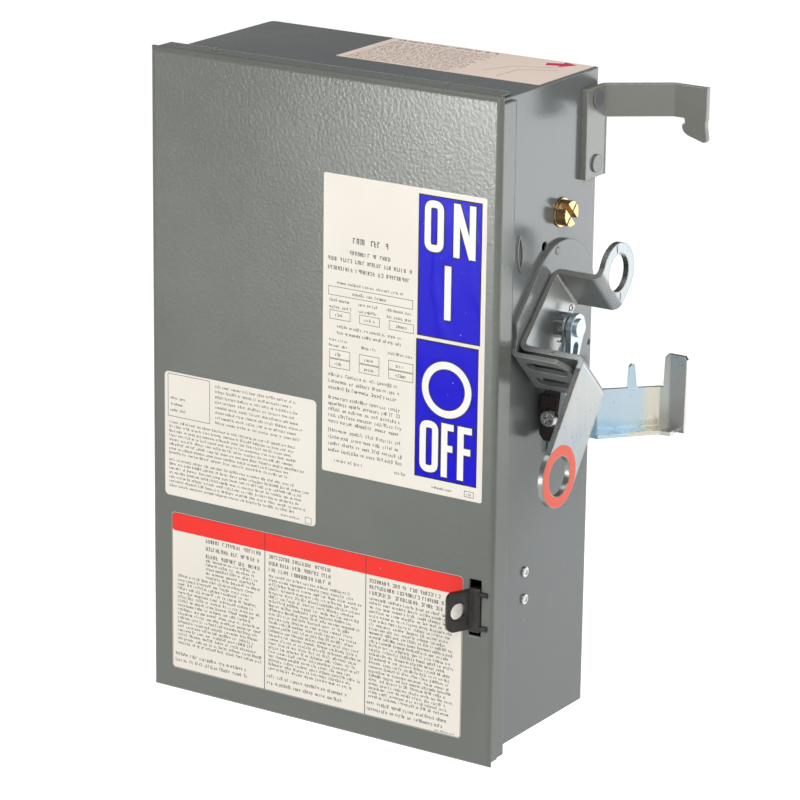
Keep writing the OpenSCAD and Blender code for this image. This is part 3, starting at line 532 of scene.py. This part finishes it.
def ribbon(path, width, low, high, closed=False, sharpest=0.4):
    # a rectangle carried along a path: each side is the path moved by half the width along its mitred normal,
    # and a mitre reaches no further than 1 / sharpest
    path = np.asarray(path, float)
    width = np.broadcast_to(np.asarray(width, float), len(path))
    if closed:
        ahead, behind = np.roll(path, -1, 0) - path, path - np.roll(path, 1, 0)
    else:
        ahead = np.concatenate([path[1:] - path[:-1], path[-1:] - path[-2:-1]])
        behind = np.concatenate([ahead[:1], ahead[:-1]])
    ahead = ahead / np.linalg.norm(ahead, axis=1, keepdims=True)
    behind = behind / np.linalg.norm(behind, axis=1, keepdims=True)
    mean = ahead + behind
    mean = mean / np.linalg.norm(mean, axis=1, keepdims=True)
    side = np.stack([-mean[:, 1], mean[:, 0]], -1)
    reach = (width / 2 / np.clip((mean * ahead).sum(1), sharpest, 1))[:, None]
    left, right = path + side * reach, path - side * reach
    lift = lambda flat, h: np.concatenate([flat, np.full((len(flat), 1), h)], -1)
    points = np.stack([lift(left, low), lift(left, high), lift(right, high), lift(right, low)], 1)
    faces = wrapGrid(len(path), 4, closed, True)
    if not closed:
        last = 4 * (len(path) - 1)
        faces = np.concatenate([faces, [[0, 3, 2, 1]], [[last, last + 1, last + 2, last + 3]]])
    return points, faces


# mm above the face that a label lies on; printing starts inside the film and ends at its own level
filmLow, inkLow, outlineLow = 0.02, 0.1, 0.13
inkHigh = {"print": 0.14, "panel": 0.15, "rule": 0.16, "outline": 0.17, "letter": 0.2}

# the strokes that each sign has: two stems, then the top, middle and bottom bar
signStrokes = np.array([[1, 1, 1, 0, 0], [1, 1, 0, 0, 1], [1, 0, 1, 0, 0], [1, 0, 0, 1, 1], [1, 1, 0, 1, 0],
                        [0, 1, 1, 0, 1], [1, 0, 0, 0, 1], [0, 1, 1, 1, 0], [1, 0, 0, 0, 0]])
# shares of the size, apart from word, how many signs; ragged, a share of the line; capitalsPast, a size in mm;
# and layer, the mm by which each stroke lies under the one before
greekLook = {"pitch": (0.46, 0.66), "closest": 0.42, "below": 0.42, "fill": 0.68, "stem": 0.135, "waist": 0.46,
             "capital": [0.74], "small": [0.58, 0.58, 0.58, 0.84], "drop": [0.0, 0.0, 0.0, 0.0, 0.2],
             "word": (3, 11), "ragged": 0.12, "capitalsPast": 2.7, "layer": 0.003}


def greekText(seed, blocks, high=inkHigh["print"]):
    # unreadable print: a sign is one row of signStrokes scaled to its width and height, a stroke a thin brick;
    # a block is its left, right, first line, last line, number of lines and size
    s = greekLook
    dice = np.random.default_rng(seed)
    shapes = []
    for left, right, top, bottom, lines, size in blocks:
        capitals = size > s["capitalsPast"]
        count = int((right - left) / (size * s["closest"])) + 8
        step = size * dice.uniform(*s["pitch"], (lines, count))
        stops = np.cumsum(dice.integers(*s["word"], (lines, count)), 1)
        wordGap = (stops[:, :, None] == np.arange(count)).any(1)
        start = left + np.cumsum(step, 1) - step[:, :1]
        ragged = (right - left) * (0.0 if capitals else s["ragged"])
        ends = right - dice.uniform(0, ragged, (lines, 1)) if lines > 1 else right
        kept = ~wordGap & (start + step < ends)
        rows = np.linspace(top, bottom, lines) if lines > 1 else np.array([(top + bottom) / 2])
        tall = dice.choice(s["capital"] if capitals else s["small"], (lines, count)) * size
        drop = dice.choice([0.0] if capitals else s["drop"], (lines, count)) * size
        kind = signStrokes[dice.integers(0, len(signStrokes), (lines, count))]
        stem = size * s["stem"]
        foot = rows[:, None] - size * s["below"] + 0 * start
        far = start + step * s["fill"] - stem
        head, waist = foot + tall, foot + tall * s["waist"]
        strokes = [(start, start + stem, foot - drop, head), (far, far + stem, foot, head),
                   (start, far + stem, head - stem, head), (start, far + stem, waist, waist + stem),
                   (start, far + stem, foot, foot + stem)]
        for index, sides in enumerate(strokes):
            used = kept & (kind[..., index] > 0)
            shapes.append(flatBoxes(*(side[used] for side in sides), inkLow, high - s["layer"] * index))
    return joinShapes(shapes)


def addSheet(name, s, place, finish, body="cover"):
    # the film of a label: a rounded sheet of the size that s gives; returns its size and middle
    size = (s["right"] - s["left"], s["top"] - s["bottom"])
    middle = np.array([(s["left"] + s["right"]) / 2, (s["bottom"] + s["top"]) / 2, 0])
    points, faces = roundedSheet(size, s["corner"], filmLow, s["thick"])
    addPiece(name, (points + middle, faces), place, finish, body)
    return size, middle


def ruledBoxes(rectangles, width, level="print"):
    # a ruled outline round each rectangle
    return [ribbon(rectangle(*sides), width, inkLow, inkHigh[level], True) for sides in rectangles]


# mm from the cover's lower left corner; a rectangle is its left, right, bottom and top
switchLabel = {
    "left": 115.0, "right": 217.5, "bottom": 150.5, "top": 317.5, "corner": 1.2, "thick": 0.12,
    "panels": [(175.9, 214.5, 237.2, 314.4), (175.4, 213.8, 158.6, 235.1)],
    "panelRims": [(175.7, 214.3, 237.5, 314.1), (175.2, 213.6, 158.9, 234.9)], "panelRim": 0.75,
    # the two round letters, the ring on the lower panel, and the ends and width of each straight stroke
    "rounds": [(181.1, 189.1, 285.9, 309.9), (179.9, 187.7, 163.9, 188.9)], "stroke": 3.9, "outline": 1.3,
    "ringMiddle": (194.4, 209.6), "ringRadius": 13.5, "ringStroke": 4.1, "ringSteps": 64,
    "strokes": [((199.1, 282.9), (199.1, 312.1), 3.9), ((208.9, 282.9), (208.9, 312.1), 3.9),
                ((199.2, 311.6), (208.8, 283.4), 4.0), ((194.1, 248.0), (194.1, 277.6), 4.1),
                ((193.5, 160.9), (193.5, 191.0), 3.9), ((195.3, 189.1), (199.3, 189.1), 3.7),
                ((195.3, 177.2), (198.7, 177.2), 3.7), ((203.7, 160.9), (203.7, 191.0), 3.9),
                ((205.5, 189.1), (210.7, 189.1), 3.7), ((205.5, 177.2), (209.9, 177.2), 3.7)],
    "strokeLayer": 0.0004,  # keeps crossing strokes apart
    "wideField": (118.5, 172.3, 250.5, 255.3), "smallField": (206.6, 212.3, 152.5, 155.6), "fieldRule": 0.28,
    "fieldRows": (237.2, 215.2, 209.9), "fieldTall": 4.8,
    "fieldColumns": ((119.5, 132.6), (138.7, 151.4), (157.6, 173.1)),
    "text": [(134, 158, 282.6, 282.6, 1, 4.2), (132, 159, 275.6, 275.6, 1, 2.9), (118, 173, 271, 266, 2, 2.9),
             (124, 167, 257.8, 257.8, 1, 1.7), (134, 156, 252.9, 252.9, 1, 2.2),
             (119, 134, 247.8, 244, 2, 1.9), (138, 152, 247.8, 244, 2, 1.9), (156, 173, 247.8, 244, 2, 1.9),
             (123, 129, 239.6, 239.6, 1, 2.1), (141.5, 149, 239.6, 239.6, 1, 2.1), (162, 169, 239.6, 239.6, 1, 2.1),
             (124, 167, 233.4, 229.9, 2, 2.0), (119, 133, 225.6, 222.4, 2, 1.8), (140, 150, 224, 224, 1, 1.8),
             (157, 173, 224, 224, 1, 1.8),
             (123, 129, 217.6, 212.3, 2, 2.1), (142, 149, 217.6, 212.3, 2, 2.1), (162, 169, 217.6, 212.3, 2, 2.1),
             (119, 169, 206, 198.6, 3, 2.3), (119, 170, 193, 179.6, 5, 2.3), (119, 168, 174.5, 163.2, 4, 2.3),
             (123, 142, 157.6, 157.6, 1, 2.0), (162, 169.5, 157.6, 157.6, 1, 2.0), (186, 200.5, 154, 154, 1, 1.7),
             (208, 211, 154.1, 154.1, 1, 1.7)],
}


def stadium(left, right, bottom, top, power=0.72, steps=20):
    # two straight sides, and ends that follow |x/r|^n + |y/r|^n = 1, where n = 2 / power
    turn = np.linspace(0, math.pi, steps)
    wide = np.sign(np.cos(turn)) * abs(np.cos(turn)) ** power
    tall = abs(np.sin(turn)) ** power
    r, middle = (right - left) / 2, (left + right) / 2
    upper = np.stack([middle + r * wide, top - r + r * tall], -1)
    lower = np.stack([middle - r * wide, bottom + r - r * tall], -1)
    return np.concatenate([upper, lower])


def makeSwitchLabel():
    s = switchLabel
    addSheet("switch_label", s, onCover, inks["stock"])
    panels = flatBoxes(*zip(*s["panels"]), inkLow, inkHigh["panel"])
    addPiece("blue_panels", panels, onCover, inks["blue"])
    # white lettering over wider dark strokes
    rings = [(stadium(*sides), s["stroke"]) for sides in s["rounds"]]
    rings.append((s["ringMiddle"] + circle(s["ringRadius"], s["ringSteps"]), s["ringStroke"]))
    rims, fills = ruledBoxes(s["panelRims"], s["panelRim"], "rule"), []
    for path, width in rings:
        rims.append(ribbon(path, width + s["outline"], outlineLow, inkHigh["outline"], True))
        fills.append(ribbon(path, width, inkHigh["panel"], inkHigh["letter"], True))
    for index, (start, end, width) in enumerate(s["strokes"]):
        path = np.array([start, end])
        along = (path[1] - path[0]) / np.linalg.norm(path[1] - path[0]) * s["outline"] / 2
        longer = [path[0] - along, path[1] + along]
        lift = s["strokeLayer"] * index
        rims.append(ribbon(longer, width + s["outline"], outlineLow, inkHigh["outline"] + lift))
        fills.append(ribbon(path, width, inkHigh["panel"], inkHigh["letter"] + lift))
    addPiece("sign_outlines", joinShapes(rims), onCover, inks["outline"])
    addPiece("sign_letters", joinShapes(fills), onCover, inks["white"])
    # ruled fields and unreadable print on the left part
    table = [(a, b, c, c + s["fieldTall"]) for c in s["fieldRows"] for a, b in s["fieldColumns"]]
    fields = ruledBoxes([s["wideField"], *table, s["smallField"]], s["fieldRule"])
    addPiece("switch_label_fields", joinShapes(fields), onCover, inks["black"])
    addPiece("switch_label_print", greekText(11, s["text"]), onCover, inks["black"])


bandLabel = {
    "left": 13.5, "right": 207.0, "bottom": 13.6, "top": 107.0, "corner": 2.2, "thick": 0.12,
    "bandFrom": 96.3, "bandInset": 0.15, "columns": (77.3, 144.5), "columnRule": 0.45, "columnInset": 0.3,
    "rimRule": 0.3, "rimInset": 0.35, "rimSteps": 7,
    "text": [(37, 75, 94, 85, 3, 3.0), (80, 123, 93.5, 85.8, 3, 2.9), (147, 196, 93, 86, 3, 2.9),
             (37, 75.5, 82.3, 72.4, 5, 2.0), (17.5, 75.5, 69.8, 29.6, 17, 2.0), (80, 142.5, 82.2, 27.4, 23, 2.0),
             (147, 204, 82.6, 25.6, 24, 2.0), (15.7, 69, 22.6, 19, 2, 2.4), (79, 135, 22.6, 18.6, 2, 2.4),
             (146, 203, 21.8, 18.2, 2, 2.4), (190, 203, 15.2, 15.2, 1, 1.3)],
}


def makeBandLabel():
    s = bandLabel
    size, middle = addSheet("band_label", s, onCover, inks["stock"])
    deep, inset = s["top"] - s["bandFrom"], s["bandInset"]
    points, faces = roundedSheet((size[0] - 2 * inset, deep), s["corner"], inkLow, inkHigh["panel"])
    band = points + [middle[0], s["top"] - deep / 2 - inset, 0]
    addPiece("red_band", (band, faces), onCover, inks["red"])
    low, high = s["bottom"] + s["columnInset"], s["top"] - s["columnInset"]
    lines = [ribbon([[u, low], [u, high]], s["columnRule"], inkLow, inkHigh["outline"]) for u in s["columns"]]
    rim = roundedRim(size, s["corner"], s["rimInset"], s["rimSteps"]) + middle[:2]
    lines.append(ribbon(rim, s["rimRule"], inkLow, inkHigh["rule"], True))
    addPiece("band_label_rules", joinShapes(lines), onCover, inks["black"])
    addPiece("band_label_print", greekText(23, s["text"]), onCover, inks["black"])


noticeLabel = {
    "left": 9.0, "right": 111.0, "bottom": 116.6, "top": 189.0, "corner": 2.5, "thick": 0.12,
    "frame": (11.3, 39.7, 163.2, 187.8), "frameRule": 0.3, "stamp": (104.2, 108.2, 117.5, 121), "stampRule": 0.25,
    "text": [(43.5, 103, 185.6, 164.6, 8, 1.8), (12, 104.5, 159.8, 141.8, 8, 1.8), (12, 108.5, 137.8, 122.6, 7, 1.8),
             (13, 24, 174, 167, 3, 1.8), (88, 101, 119.3, 119.3, 1, 1.4)],
}


def makeNoticeLabel():
    s = noticeLabel
    addSheet("notice_label", s, onCover, inks["stock"])
    rules = ruledBoxes([s["frame"]], s["frameRule"]) + ruledBoxes([s["stamp"]], s["stampRule"])
    addPiece("notice_label_rules", joinShapes(rules), onCover, inks["black"])
    addPiece("notice_label_print", greekText(37, s["text"]), onCover, inks["black"])


# mm from the cover's left edge and back from its face; the arrow is a path and its width at each point
topLabel = {
    "left": 91.8, "right": 220.0, "bottom": 45.0, "top": 103.5, "corner": 1.0, "thick": 0.12,
    "arrow": [[195.8, 93.4], [203.6, 96.6], [203.6001, 96.6], [211.1, 99.8]], "arrowWidth": [6.2, 6.2, 13.5, 0.3],
    "drawing": [[[190, 51.4], [191, 71.6], [209.5, 82.8]], [[176, 60], [184, 78], [206, 88]]], "drawnLine": 0.35,
    "text": [(97, 165, 100.6, 100.6, 1, 3.6), (97, 167, 95, 48.5, 16, 2.0)],
}


def makeTopLabel():
    s = topLabel
    addSheet("top_label", s, onTop, inks["pink"], "enclosure")
    arrowShape = ribbon(s["arrow"], s["arrowWidth"], inkLow, inkHigh["panel"])
    addPiece("top_label_arrow", arrowShape, onTop, inks["magenta"], "enclosure")
    addPiece("top_label_print", greekText(41, s["text"]), onTop, inks["black"], "enclosure")
    lines = [ribbon(path, s["drawnLine"], inkLow, inkHigh["print"]) for path in s["drawing"]]
    addPiece("top_label_drawing", joinShapes(lines), onTop, inks["black"], "enclosure")


# seen from behind, so mm from the same corner are negative across; the table's rows and columns stop inside its
# outline and have levels of their own, so that no two tops share a place
insideSheet = {
    "left": -176.0, "right": -52.0, "bottom": 70.0, "top": 170.0, "corner": 2.0, "thick": 0.12, "coverSheet": 1.5,
    "table": (-170, -58, 78, 112), "tableRule": 0.4, "rule": 0.3, "inset": 0.1,
    "rows": (86.5, 95.0, 103.5), "rowHigh": 0.145, "columns": (-140.0, -112.0, -84.0),
    "text": [(-150, -78, 163, 163, 1, 4.4), (-170, -60, 154, 120, 9, 2.6)],
    "cellColumns": (-170, -140, -112, -84), "cellRows": (82.2, 90.7, 99.2, 107.7), "cellText": (6, 24, 2.6),
}


def makeInsideSheet():
    # data sheet stuck to the back of the cover
    s = insideSheet
    onBack = plane((coverLow.x, coverLow.y + s["coverSheet"] * mm, coverLow.z), (-1, 0, 0), (0, 0, 1))
    addSheet("inside_sheet", s, onBack, inks["stock"])
    left, right, bottom, top = s["table"]
    rules = ruledBoxes([s["table"]], s["tableRule"], "panel")
    ends = (left + s["inset"], right - s["inset"])
    rules += [ribbon([[u, v] for u in ends], s["rule"], inkLow, s["rowHigh"]) for v in s["rows"]]
    ends = (bottom + s["inset"], top - s["inset"])
    rules += [ribbon([[u, v] for v in ends], s["rule"], inkLow, inkHigh["print"]) for u in s["columns"]]
    addPiece("inside_sheet_rules", joinShapes(rules), onBack, inks["black"])
    fromLeft, toRight, size = s["cellText"]
    cells = [(u + fromLeft, u + toRight, v, v, 1, size) for u in s["cellColumns"] for v in s["cellRows"]]
    addPiece("inside_sheet_print", greekText(53, s["text"] + cells), onBack, inks["black"])


fuseWrap = {"half": 36.0, "thick": 0.12, "stripe": 5.0, "stripeInset": 5.0, "text": (-13, 13, 22, -18, 10, 2.4)}


def aroundTube(x, y, z, radius):
    # bends flat (u, v, height) round an upright tube: angle u / r from the front, distance r + height
    def bend(flat):
        angle, reach = flat[:, 0] / radius, radius + flat[:, 2]
        return np.stack([x + reach * np.sin(angle) * mm, y - reach * np.cos(angle) * mm, z + flat[:, 1] * mm], -1)
    return bend


def sleeve(radius, bottom, top, low, high, steps=64):
    # the rectangle from bottom to top and from low to high, carried once round the girth
    turn = np.linspace(0, 2 * math.pi, steps, endpoint=False) * radius
    v, h = np.array([[bottom, low], [bottom, high], [top, high], [top, low]]).T[..., None]
    return np.stack(np.broadcast_arrays(turn, v, h), -1), wrapGrid(4, steps, True, True)


def makeFuseWraps():
    # paper wrap of each fuse: a thin tube, two stripes and a few lines of unreadable print
    s = fuseWrap
    low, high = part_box("fuse_tubes")
    radius = (high.y - low.y) / 2 / mm
    pitch = ((high.x - low.x) / mm - 2 * radius) / 2
    half, wide = s["half"], s["stripe"] / 2
    for index, letter in enumerate("abc"):
        place = aroundTube(low.x + (radius + index * pitch) * mm, (low.y + high.y) / 2, (low.z + high.z) / 2, radius)
        middles = (s["stripeInset"] - half, half - s["stripeInset"])
        stripes = [sleeve(radius, v - wide, v + wide, inkLow, inkHigh["rule"]) for v in middles]
        wrap = sleeve(radius, -half, half, filmLow, s["thick"])
        text = greekText(61 + index, [s["text"]], inkHigh["panel"])
        addPiece("fuse_wrap_" + letter, wrap, place, inks["stock"], "enclosure")
        addPiece("fuse_stripes_" + letter, joinShapes(stripes), place, inks["blue"], "enclosure")
        addPiece("fuse_print_" + letter, text, place, inks["black"], "enclosure")


makeSwitchLabel()
makeBandLabel()
makeNoticeLabel()
makeTopLabel()
makeInsideSheet()
makeFuseWraps()
print("labels made")

eyeRing = {"inner": 11.2, "outer": 16.7, "low": 0.01, "high": 0.12, "steps": 96}


def makeEyeRing():
    # red ring round the lower eye: a flat band carried round a circle
    s = eyeRing
    centre = mounts["lower_eye"]["pos_m"]
    onArm = plane((handleHigh.x, centre[1], centre[2]), (0, 1, 0), (0, 0, 1))
    path = circle((s["inner"] + s["outer"]) / 2, s["steps"])
    band = ribbon(path, s["outer"] - s["inner"], s["low"], s["high"], True)
    addPiece("eye_ring", band, onArm, inks["ring"], "handle")


makeEyeRing()
print("ring made")

rivetRims = {"inner": 1.35, "outer": 2.95, "rise": 0.5, "low": 0.01, "steps": 40, "rollSteps": 20}


def makeRivetRims():
    # rolled rims of the hollow rivets: r = mean + half width * cos b, h = rise * sin b above the head, flat below
    s = rivetRims
    low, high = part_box("keeper_rivets")
    b = np.linspace(0, 2 * math.pi, s["rollSteps"], endpoint=False)[:, None, None]
    radius = (s["outer"] + s["inner"]) / 2 + (s["outer"] - s["inner"]) / 2 * np.cos(b)
    around = radius * circle(1, s["steps"])
    level = s["low"] + s["rise"] * np.maximum(np.sin(b), 0)
    rim = np.concatenate([around, np.broadcast_to(level, (*around.shape[:2], 1))], -1)
    reach = (high.y - low.y) / 2
    heights = (low.z + reach, high.z - reach)
    faces = wrapGrid(*around.shape[:2], True, True)
    shapes = [(rim + [0, (z - heights[0]) / mm, 0], faces) for z in heights]
    place = plane((high.x, (low.y + high.y) / 2, heights[0]), (0, 1, 0), (0, 0, 1))
    addPiece("rivet_rims", joinShapes(shapes), place, made["zinc"], "enclosure")


def sweptWire(path, radius, sides, tip=0.01):
    # tube round a flat path: p + w (cos a * side + sin a * up), side square to the path and up to its plane;
    # w falls to the tip at both ends, which fans of quads close
    path = np.concatenate([path[:1], path, path[-1:]])
    ahead = np.gradient(path, axis=0)
    ahead[0], ahead[-1] = ahead[1], ahead[-2]
    ahead = ahead / np.linalg.norm(ahead, axis=1, keepdims=True)
    side = np.stack([-ahead[:, 1], ahead[:, 0]], -1)
    w = np.full(len(path), radius)
    w[[0, -1]] = tip
    a = np.linspace(0, 2 * math.pi, sides, endpoint=False)
    flat = path[:, None] + (w[:, None] * np.cos(a))[..., None] * side[:, None]
    points = np.concatenate([flat, (w[:, None] * np.sin(a))[..., None]], -1)
    k = np.arange(0, sides - 2, 2)
    cap = np.stack([0 * k, k + 1, k + 2, k + 3], -1)
    tube = wrapGrid(len(path), sides, False, True)
    return points, np.concatenate([tube, cap[:, ::-1], cap + (len(path) - 1) * sides])


splitPin = {"wire": 0.54, "apart": 1.02, "lean": 30.0, "ring": 1.6, "head": 9.9, "leg": 8.3, "neck": 0.6,
            "splay": 3.6, "drop": 1.7, "sides": 12, "ringSteps": 30, "splaySteps": 9}


def makeSplitPin():
    # two legs side by side, a ring head (-R sin f, h - R cos f) and ends splayed as quarter ellipses
    s = splitPin
    nutLow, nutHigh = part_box("shaft_nut")
    low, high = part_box("cotter_pin")
    lean = math.radians(s["lean"])
    place = plane(((low.x + high.x) / 2, (nutLow.y + nutHigh.y) / 2, (nutLow.z + nutHigh.z) / 2),
                  (0, math.cos(lean), -math.sin(lean)), (0, math.sin(lean), math.cos(lean)))
    e = np.linspace(0, math.pi / 2, s["splaySteps"])
    gap, shoulder = s["wire"] * s["apart"], s["leg"] - s["neck"]
    first = math.asin(gap / s["ring"])
    f = np.linspace(first, 2 * math.pi - first, s["ringSteps"])
    splay = np.stack([-gap - s["splay"] * (1 - np.cos(e)), -s["leg"] - s["drop"] * np.sin(e)], -1)
    ring = np.stack([-s["ring"] * np.sin(f), s["head"] - s["ring"] * np.cos(f)], -1)
    path = np.concatenate([splay[::-1], [[-gap, 0.0], [-gap, shoulder]], ring,
                           [[gap, shoulder], [gap, 0.0]], splay * [-1, 1]])
    wireShape = sweptWire(path, s["wire"], s["sides"])
    pin = addPiece("split_pin", wireShape, place, made["zinc"], "handle")
    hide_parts("cotter_pin")


linkLeaf = {"hole": 5.06, "disc": 7.4, "tip": 33.0, "half": 4.7, "end": 4.7, "behind": 2.7, "thick": 1.3,
            "square": 8, "strapTurn": 0.75, "strapSteps": 60, "discSteps": 48}


def makeLinkLeaf():
    # inner leaf of the link: rim r(a) = the larger of a disc and (|cos a / tip|^n + |sin a / half|^n)^(-1/n),
    # n = square, a from straight down and closer together up to the strap's turn
    s = linkLeaf
    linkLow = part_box("slotted_link")[0]
    nutLow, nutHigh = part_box("shaft_nut")
    y, z = (nutLow.y + nutHigh.y) / 2, (nutLow.z + nutHigh.z) / 2
    lean = math.atan2(linkLow.y + s["end"] * mm - y, z - linkLow.z - s["end"] * mm)
    turn, n = s["strapTurn"], s["square"]
    a = np.concatenate([np.linspace(-turn, turn, s["strapSteps"], endpoint=False),
                        np.linspace(turn, 2 * math.pi - turn, s["discSteps"], endpoint=False)])
    strap = ((np.abs(np.cos(a)) / s["tip"]) ** n + (np.abs(np.sin(a)) / s["half"]) ** n) ** (-1 / n)
    rim = np.where(np.cos(a) > 0, np.maximum(s["disc"], strap), s["disc"])
    hole = np.full_like(rim, s["hole"])
    radius = np.stack([hole, rim, rim, hole])
    level = np.array([s["thick"], s["thick"], 0.0, 0.0])[:, None]
    points = np.stack(np.broadcast_arrays(radius * np.sin(a + lean), -radius * np.cos(a + lean), level), -1)
    place = plane((linkLow.x - s["behind"] * mm, y, z), (0, 1, 0), (0, 0, 1))
    leaf = (points, wrapGrid(4, len(a), True, True)[:, ::-1])
    addPiece("link_leaf", leaf, place, made["link_zinc"], "link")


makeRivetRims()
makeSplitPin()
makeLinkLeaf()
print("small metal pieces made")

white = (1, 1, 1, 1)
stageLook = {"floorDrop": 0.3, "floorHalf": 12.0, "floorColour": (0.9, 0.9, 0.9, 1), "floorRoughness": 0.95,
             "floorGlow": 0.72, "nearGlow": 0.3, "turnsDull": (-0.4, 0.3),
             "skyLight": 0.32, "overhead": (0.06, 0.06, 0.065, 1), "overheadFrom": (0.0, 0.22)}


def raysSeen(tree):
    # rays straight from the camera, and those that come by gloss or through glass
    path = tree.nodes.new("ShaderNodeLightPath").outputs
    return path["Is Camera Ray"], maths(tree, "MAXIMUM", path["Is Glossy Ray"], path["Is Transmission Ray"])


def makeStage():
    # plain pale floor well under the hanging box: a grid of points on one level
    s = stageLook
    line = np.linspace(-s["floorHalf"], s["floorHalf"], 3)
    u, v = np.meshgrid(line, line, indexing="ij")
    points = np.stack([u, v, 0 * u + cadBox[0][2] - s["floorDrop"]], -1).reshape(-1, 3)
    mesh = bpy.data.meshes.new("floor")
    mesh.from_pydata(points.tolist(), [], wrapGrid(3, 3, False, False)[:, ::-1].tolist())
    floor = addObject("floor", mesh)
    material = bpy.data.materials.new("pale floor")
    material.use_nodes = True
    tree = material.node_tree
    shader = tree.nodes["Principled BSDF"]
    shader.inputs["Base Color"].default_value = s["floorColour"]
    shader.inputs["Roughness"].default_value = s["floorRoughness"]
    shader.inputs["Emission Color"].default_value = white
    # full glow to the camera; in reflections the part in front of the box is duller than the part behind it
    straight, gloss = raysSeen(tree)
    behind = spread(tree, axesOf(tree, placeOf(tree))["Y"], *s["turnsDull"], s["nearGlow"], s["floorGlow"])
    glow = maths(tree, "MAXIMUM", maths(tree, "MULTIPLY", straight, s["floorGlow"]),
                 maths(tree, "MULTIPLY", gloss, behind))
    wire(tree, (glow, shader.inputs["Emission Strength"]))
    mesh.materials.append(material)


def makeWorld():
    # a soft grey as light; white to the camera and in reflections, though dull overhead in gloss
    s = stageLook
    world = bpy.data.worlds.new("studio")
    bpy.context.scene.world = world
    world.use_nodes = True
    tree = world.node_tree
    tree.nodes.clear()
    straight, gloss = raysSeen(tree)
    lit = shaderNode(tree, "ShaderNodeBackground", Color=white, Strength=s["skyLight"])
    shown = shaderNode(tree, "ShaderNodeBackground", Strength=1.0)
    raised = spread(tree, axesOf(tree, placeOf(tree, "Generated"))["Z"], *s["overheadFrom"])
    over = maths(tree, "MULTIPLY", raised, maths(tree, "SUBTRACT", 1.0, straight))
    mix = tree.nodes.new("ShaderNodeMixShader")
    end = tree.nodes.new("ShaderNodeOutputWorld")
    wire(tree, (blendColour(tree, over, white, s["overhead"]), shown.inputs["Color"]),
         (maths(tree, "MAXIMUM", straight, gloss), mix.inputs[0]), (lit.outputs[0], mix.inputs[1]),
         (shown.outputs[0], mix.inputs[2]), (mix.outputs[0], end.inputs[0]))


# places and sizes in metres, power in watts; each looks at the origin
lamps = {
    "frontLamp": {"at": (-1.12, -2.38, -0.3), "size": (0.34, 0.3), "power": 11.0, "colour": (1.0, 0.995, 0.98)},
    "fillLamp": {"at": (0.2, -2.3, 0.3), "size": (0.6, 0.6), "power": 9.5, "colour": (1.0, 1.0, 1.0)},
    "sideLamp": {"at": (1.0, -0.55, 0.95), "size": (0.6, 0.6), "power": 9.0, "colour": (0.97, 0.985, 1.0)},
    "backLamp": {"at": (0.86, 1.18, -0.16), "size": (0.9, 0.5), "power": 3.4, "colour": (0.93, 0.975, 1.0)},
    "topLamp": {"at": (-0.4, -0.6, 2.3), "size": (1.2, 1.2), "power": 21.0, "colour": (1.0, 1.0, 1.0)},
}


def makeLamps():
    for name, s in lamps.items():
        light = bpy.data.lights.new(name, "AREA")
        light.shape, light.energy, light.color = "RECTANGLE", s["power"], s["colour"]
        light.size, light.size_y = s["size"]
        lamp = addObject(name, light)
        lamp.location = s["at"]
        lamp.visible_camera = False
        lamp.rotation_mode = "QUATERNION"
        lamp.rotation_quaternion = (-Vector(s["at"])).to_track_quat("-Z", "Y")


# metres, degrees, and mm for the lens and sensor
cameraPlace = {"at": (1.1071, -1.7548, 0.6053), "azimuth": 32.665, "elevation": 16.894, "roll": 0.758,
               "lens": 172.1, "sensor": 36.0, "farthest": 60.0}


def makeCamera():
    # back = (sin a cos e, -cos a cos e, sin e); right and up are square to it, and both rolled about it
    s = cameraPlace
    a, e, r = (math.radians(s[k]) for k in ("azimuth", "elevation", "roll"))
    back = Vector((math.sin(a) * math.cos(e), -math.cos(a) * math.cos(e), math.sin(e)))
    right = (-back).cross(Vector((0, 0, 1))).normalized()
    up = right.cross(-back)
    turned = Matrix((right * math.cos(r) + up * math.sin(r), up * math.cos(r) - right * math.sin(r), back))
    data = bpy.data.cameras.new("camera")
    data.lens, data.sensor_width, data.clip_end = s["lens"], s["sensor"], s["farthest"]
    camera = addObject("camera", data)
    camera.rotation_mode = "QUATERNION"
    camera.rotation_quaternion = turned.transposed().to_quaternion()
    camera.location = s["at"]
    bpy.context.scene.camera = camera


makeStage()
makeWorld()
makeLamps()
makeCamera()
bpy.context.scene.view_settings.view_transform = "Standard"
print("stage, lamps and camera made")
